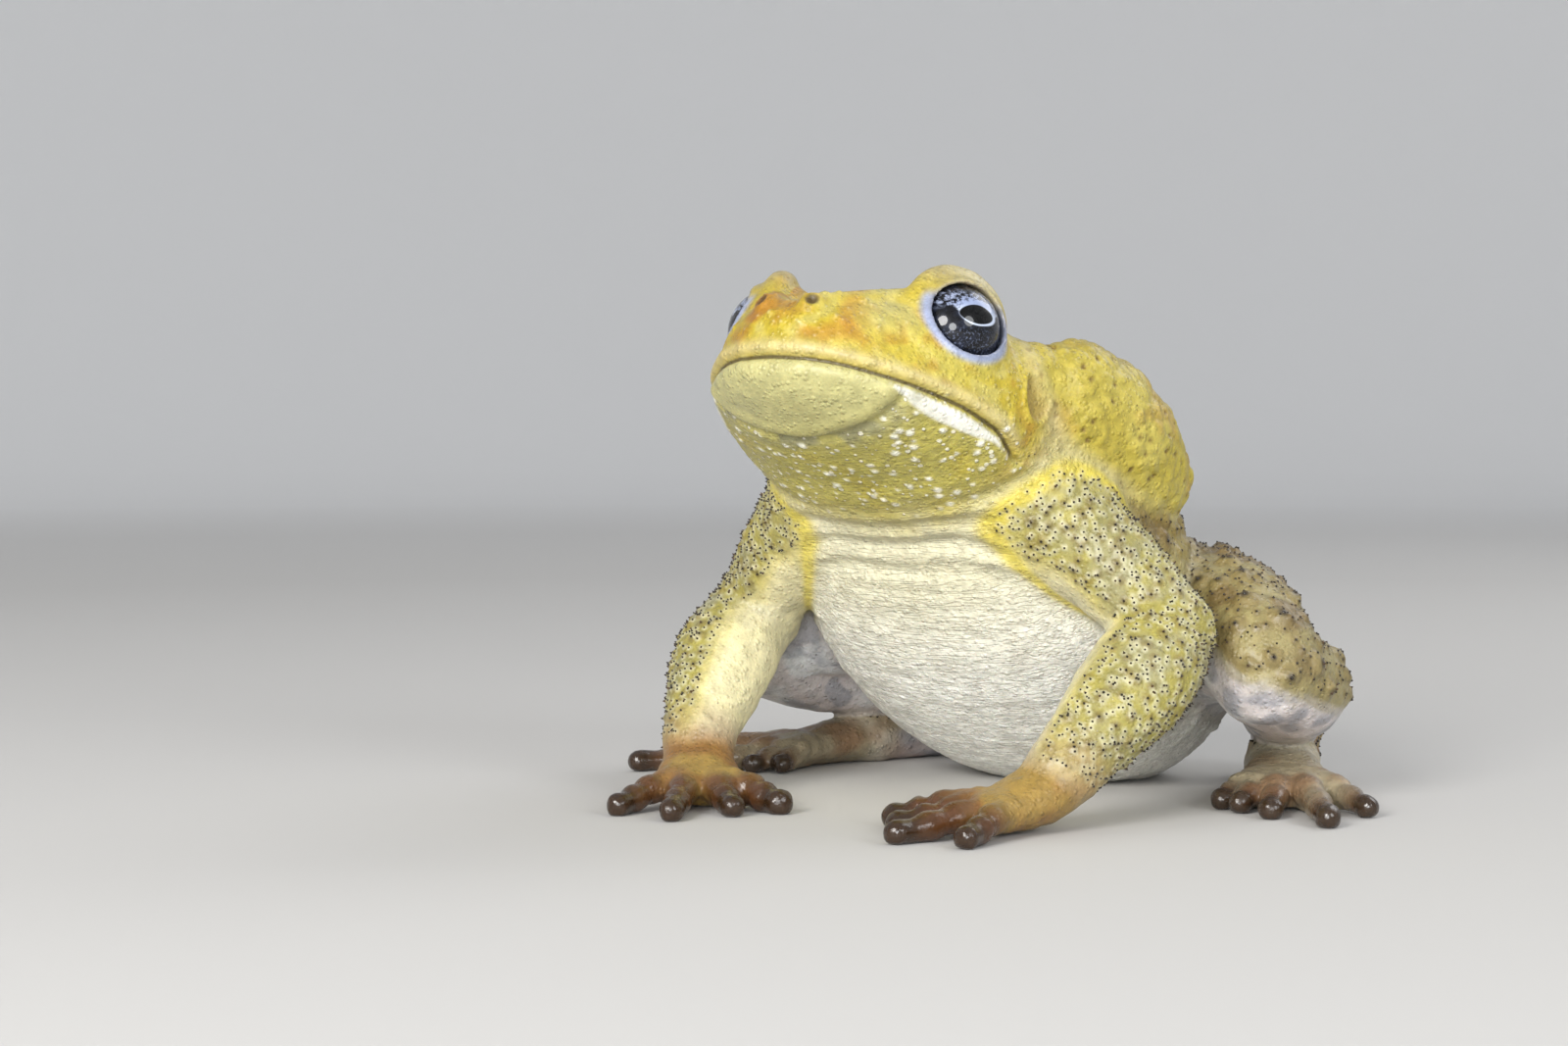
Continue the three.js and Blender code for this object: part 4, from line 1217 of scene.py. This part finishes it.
def skin_material():
    """Moist skin: the painted colour broken up, with grains, specks, pores, the mouth's line and painted shade
    in creases.
    """
    s = Shader("toad_skin")
    place, gloss = s.coordinates(), s.attribute("gloss")
    coarse, fine = s.noise(place, 1.7, 3, 0.6), s.noise(place, 0.42, 2, 0.6)
    tone = s.step(coarse, 0.3, 0.7, 0.84, 1.1) + s.step(fine, 0.3, 0.7, -0.07, 0.07)
    # Creases on the lower trunk and throat: painted shade darkens their lines, and the bump sinks them a
    # little
    creases = s.noise(s.coordinates((0.14, 1, 1.2)), 1.1, 3, 0.5)
    shaded_crease = s.step(abs(creases - 0.5), 0.08, 0.0) * s.attribute("wrinkle")
    grain = s.spots(place, 1.05, s.attribute("grain"), 0.55)
    speck = s.spots(place, 1.3, s.attribute("speck") * 0.75, 0.42)
    pore = s.spots(place, 1.6, s.attribute("gland") * 0.6, 0.3)
    line = s.step(abs(s.attribute("mouth")), 0.45, 0.12) * s.attribute("face")
    tint = {"Vector": s.attribute("tint", "Color"), "Scale": tone}
    colour = s.node("ShaderNodeVectorMath", tint, operation="SCALE")
    # The first layer is painted shade in the creases
    for name, share in (
        ("shaded_crease", shaded_crease * 0.22), ("grain", grain * 0.75), ("speck", speck * 0.9),
        ("gland_dot", pore * 0.8), ("mouth", line * 0.85),
    ):
        colour = s.layer(colour, name, share)
    height = s.spots(place, 0.7, 1.1, 0.8, 0.7) * s.step(gloss, 0, 1, 0.16, 0.03)
    height = height + fine * 0.06 + grain * 0.16 + speck * 0.12 - shaded_crease * 0.09 - pore * 0.15
    return s.finished({
        "Base Color": colour,
        "Roughness": s.step(coarse, 0.3, 0.7, 0.36, 0.54) + s.step(gloss, 0, 1, 0.0, -0.26),
        "Normal": s.bump(height),
        "Subsurface Weight": 0.1,
        "Subsurface Radius": (1.0, 0.5, 0.25),
        "Subsurface Scale": 0.0015,
        "Coat Weight": 0.12,
        "Coat Roughness": 0.25,
    })


def spine_material():
    """Dark horn, paler at some roots."""
    s = Shader("toad_spines")
    place = s.coordinates()
    tone = s.noise(place, 1.2, 2, 0.5)
    return s.finished({
        "Base Color": s.layer("horn", "horn_root", s.step(tone, 0.5, 0.75)),
        "Roughness": s.step(tone, 0.3, 0.7, 0.22, 0.4),
        "Normal": s.bump(s.noise(place, 0.2) * 0.03),
    })


def eye_material():
    """A black and silver iris with a level oval pupil, under a clear wet coat."""
    s = Shader("toad_eye")
    a, v = s.attribute("eye_ahead"), s.attribute("eye_above")
    flat = s.node("ShaderNodeCombineXYZ", {"X": a, "Y": v})
    away = s.math("SQRT", a * a + v * v)
    wide, high = ((abs(c) / half) ** PUPIL_POWER for c, half in zip((a, v), PUPIL))
    pupil = (wide + high) ** (1 / PUPIL_POWER)
    veins, broad, dots = s.noise(flat, 0.55, 4, 0.65), s.noise(flat, 1.6, 2, 0.5), s.noise(flat, 0.32, 3, 0.6)

    def near_level(middle, width):
        return s.step(abs(v - middle), width, 0.2 * width)

    patch = near_level(2.5, 1.9) * s.step(veins + broad * 0.35, 0.61, 0.82)
    dust = near_level(-3.4, 2.1) * s.step(dots, 0.52, 0.68)
    above = s.step(v, 0.1, 1.7)
    cloud = above * s.step(veins, 0.3, 0.75, 0.55, 1.3)
    ends = s.step(a, 0.8, 2.9, 0.0, -0.17) + s.step(a, -0.8, -2.9, 0.0, 0.06)
    ring = s.step(cloud + ends + 1.24 - pupil, 0.0, s.step(above, 0.0, 1.0, 0.13, 0.6))
    colour = "iris"
    for over, share in (
        ("iris_cloud", s.step(broad, 0.4, 0.75)), ("iris_patch", patch * 0.85), ("iris_dust", dust * 0.6),
        (s.layer("silver", "steel", above), ring * 0.92), ("pupil", s.step(pupil, 1.05, 0.97)),
        ("eye_edge", s.step(away, 5.2, 5.9)),
    ):
        colour = s.layer(colour, over, share)
    return s.finished({
        "Base Color": colour,
        "Roughness": s.step(veins, 0.3, 0.7, 0.25, 0.4),
        "Specular IOR Level": 0.1,
        "Coat Weight": 1.0,
        "Coat Roughness": 0.02,
        "Coat IOR": 1.38,
    })


def in_scene(name, data):
    obj = bpy.data.objects.new(name, data)
    bpy.context.scene.collection.objects.link(obj)
    return obj


def new_object(name, points, faces):
    """A smooth object of a mesh given in millimetres."""
    mesh = bpy.data.meshes.new(name)
    mesh.from_pydata((np.asarray(points) * MM).tolist(), [], faces.tolist())
    mesh.shade_smooth()
    return in_scene(name, mesh)


def add_attribute(obj, name, values):
    attribute = obj.data.attributes.new(name, "FLOAT", "POINT")
    attribute.data.foreach_set("value", np.asarray(values, np.float32))


def unwrap(obj):
    """Lays the object's faces out flat, in few pieces, in the map that its colours may be kept in."""
    obj.data.uv_layers.new(name=COLOUR_MAP)
    bpy.context.view_layer.objects.active = obj
    bpy.ops.object.mode_set(mode="EDIT")
    bpy.ops.mesh.select_all(action="SELECT")
    bpy.ops.uv.smart_project(angle_limit=math.radians(66), island_margin=0.002, scale_to_bounds=True)
    bpy.ops.object.mode_set(mode="OBJECT")


def make_skin(surface, quads, lift, colour, masks):
    """The skin's object. It is laid out flat while it is smooth, before its folds and warts rise."""
    points = surface.points + surface.normals * lift[:, None]
    points[:, 2] = np.maximum(points[:, 2], 0)
    skin = new_object("skin", surface.points, quads)
    unwrap(skin)
    skin.data.vertices.foreach_set("co", (points * MM).astype(np.float32).ravel())
    skin.data.update()
    tint = skin.data.attributes.new("tint", "FLOAT_COLOR", "POINT")
    tint.data.foreach_set("color", np.column_stack([colour, np.ones(len(colour))]).astype(np.float32).ravel())
    for name, values in masks.items():
        add_attribute(skin, name, values)
    skin.data.materials.append(skin_material())
    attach(skin, "root")
    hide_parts(*(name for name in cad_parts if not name.startswith("eye")))
    return points


def spine_roots(surface, relief, rng):
    """The vertices that the horny points stand on, with their radii and heights."""
    masks = relief.masks
    roots, radii = [], []
    for picks, radius in relief.roots:
        kept = masks["rough"][picks] > 0.5
        roots.append(picks[kept])
        radii.append(mix(0.15, 0.3, clamp(radius[kept] / 2)))
    for area, spacing, large, seed in (
        (surface.leg * masks["rough"], 2.4, 0.22, 85),
        (masks["back"], 3.2, 0.18, 93),
    ):
        picks = scattered(surface.points, area, spacing, seed)
        roots.append(picks)
        radii.append(mix(0.6, 1.0, rng.random(len(picks))) * large)
    root, radius = np.concatenate(roots), np.concatenate(radii)
    return root, radius, radius * mix(0.7, 1.2, rng.random(len(root))) * mix(1, 1.8, surface.arm[root])


def make_spines(points, quads, surface, relief):
    """Small dark horny points on the back's warts and over the limbs: closed cones with a few sides."""
    root, radius, height = spine_roots(surface, relief, np.random.default_rng(19))
    base, n = points[root], normals_of(points, quads)[root]
    first = unit(np.cross(n, [0.36, 0.48, 0.8]))
    second = np.cross(n, first)
    sides = 5
    angle = turns(sides)
    circle = first[:, None] * np.cos(angle)[None, :, None] + second[:, None] * np.sin(angle)[None, :, None]
    levels = ((-0.5, 1.1), (0.1, 0.9), (0.6, 0.45))
    rings = [
        base[:, None] + n[:, None] * (share * height)[:, None, None] + circle * (wide * radius)[:, None, None]
        for share, wide in levels
    ]
    ends = [base - n * (0.5 * height)[:, None], base + n * height[:, None]]
    block = np.concatenate([ends[0][:, None], *rings, ends[1][:, None]], axis=1)
    pattern = skin_over(np.zeros((len(levels), sides, 3)), np.zeros(3), np.zeros(3))[1]
    number = np.arange(len(root))
    faces = ((number * block.shape[1])[:, None, None] + pattern).reshape(-1, 3)
    spines = new_object("spines", block.reshape(-1, 3), faces)

    reach = 0.42 * np.array([0, *np.repeat([1, 0.7, 0.4], sides), 0])
    turn = np.array([0, *np.tile(angle, len(levels)), 0])
    disc = 0.5 + np.column_stack([reach * np.cos(turn), reach * np.sin(turn)])
    across = math.ceil(math.sqrt(len(root)))
    patch = (np.column_stack([number % across, number // across])[:, None] + disc).reshape(-1, 2) / across
    layer = spines.data.uv_layers.new(name=COLOUR_MAP)
    layer.data.foreach_set("uv", patch[faces.ravel()].astype(np.float32).ravel())
    spines.data.materials.append(spine_material())
    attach(spines, "root")


def make_eye(name, out, material, steps=64, sides=96):
    centre, looks, ahead, above = eye_frame(out)
    theta = np.linspace(0, np.pi, steps + 2)[1:-1]
    angle = turns(sides)
    a = EYE_RADIUS * np.sin(theta)[:, None] * np.cos(angle)
    v = EYE_RADIUS * np.sin(theta)[:, None] * np.sin(angle)
    depth = EYE_RADIUS * np.cos(theta)[:, None] * np.ones(sides)
    rings = centre + a[..., None] * ahead + v[..., None] * above + depth[..., None] * looks
    points, faces = skin_over(rings, centre + looks * EYE_RADIUS, centre - looks * EYE_RADIUS)
    eye = new_object(f"eyeball_{name}", points, faces if out > 0 else faces[:, ::-1])
    add_attribute(eye, "eye_ahead", (points - centre) @ ahead)
    add_attribute(eye, "eye_above", (points - centre) @ above)
    eye.data.materials.append(material)
    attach(eye, "root")
    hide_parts(f"eye_{name}")


def look_at(obj, place, target):
    place, target = Vector(np.array(place) * MM), Vector(np.array(target) * MM)
    obj.location = place
    obj.rotation_euler = (target - place).to_track_quat("-Z", "Y").to_euler()


def make_camera():
    distance = LENS / SENSOR * IMAGE_SIZE[0] / PIXELS_PER_MM
    level = math.cos(CAMERA_ELEVATION)
    back = [math.sin(CAMERA_AZIMUTH) * level, -math.cos(CAMERA_AZIMUTH) * level, math.sin(CAMERA_ELEVATION)]
    right = unit(np.cross([0, 0, 1], back))
    up = np.cross(back, right)
    aside, below = (pixel - size / 2 for pixel, size in zip(TARGET_PIXEL, IMAGE_SIZE))
    aim = CAMERA_TARGET - right * aside / PIXELS_PER_MM + up * below / PIXELS_PER_MM
    data = bpy.data.cameras.new("camera")
    data.lens, data.sensor_width, data.clip_start = LENS, SENSOR, 0.01
    camera = in_scene("camera", data)
    look_at(camera, aim + np.array(back) * distance, aim)
    bpy.context.scene.camera = camera


def make_floor():
    """A pale floor that curves up into a wall all round."""
    profile = [(radius, 0) for radius in (0.02, 250, 600, 1000, FLOOR_RADIUS)]
    for angle in np.linspace(0, np.pi / 2, 16)[1:]:
        profile.append((FLOOR_RADIUS + FLOOR_BEND * math.sin(angle), FLOOR_BEND * (1 - math.cos(angle))))
    profile.append((FLOOR_RADIUS + FLOOR_BEND, WALL_HEIGHT))
    radius, height = np.array(profile).T[:, :, None]
    sides = 96
    angle = turns(sides)
    rings = np.stack([radius * np.cos(angle), radius * np.sin(angle), height * np.ones(sides)], -1)
    points = rings.reshape(-1, 3)
    ring, k = np.meshgrid(np.arange(len(profile) - 1) * sides, np.arange(sides), indexing="ij")
    after = (k + 1) % sides
    faces = np.stack([ring + k, ring + after, ring + after + sides, ring + k + sides], -1).reshape(-1, 4)
    floor = new_object("floor", points, faces)
    # Painted light and shade: darker near the toad and paler far off, to even out the lamps' falloff
    add_attribute(floor, "far", step(600, 1800, np.linalg.norm(points, axis=1)))
    s = Shader("floor")
    colour = s.layer(FLOOR_NEAR, FLOOR_FAR, s.attribute("far"))
    floor.data.materials.append(s.finished({"Base Color": colour, "Roughness": 0.8}))


def make_lights():
    """Soft studio lights, and a pale sky."""
    for name, (place, size, power, colour) in LIGHTS.items():
        data = bpy.data.lights.new(name, "AREA")
        data.shape, data.size, data.energy, data.color = "DISK", size * MM, power, colour
        look_at(in_scene(name, data), place, LIGHT_TARGET)
    world = bpy.data.worlds.new("studio")
    world.use_nodes = True
    background = world.node_tree.nodes["Background"]
    background.inputs["Color"].default_value = SKY_COLOUR
    background.inputs["Strength"].default_value = SKY_STRENGTH
    bpy.context.scene.world = world
    bpy.context.scene.view_settings.view_transform = "Standard"


make_camera()
make_floor()
make_lights()

skin_field, part_fields = build_fields()
base_points, base_quads = skin_field.surface()
toad = Surface(base_points.astype(float), base_quads, part_fields)
toad_relief = shaped(toad)
toad_tint, skin_masks = painted(toad, toad_relief.masks)
skin_points = make_skin(toad, base_quads, toad_relief.lift, toad_tint, skin_masks)
make_spines(skin_points, base_quads, toad, toad_relief)
wet_eye = eye_material()
for side_name, side in SIDES.items():
    make_eye(side_name, side["out"], wet_eye)
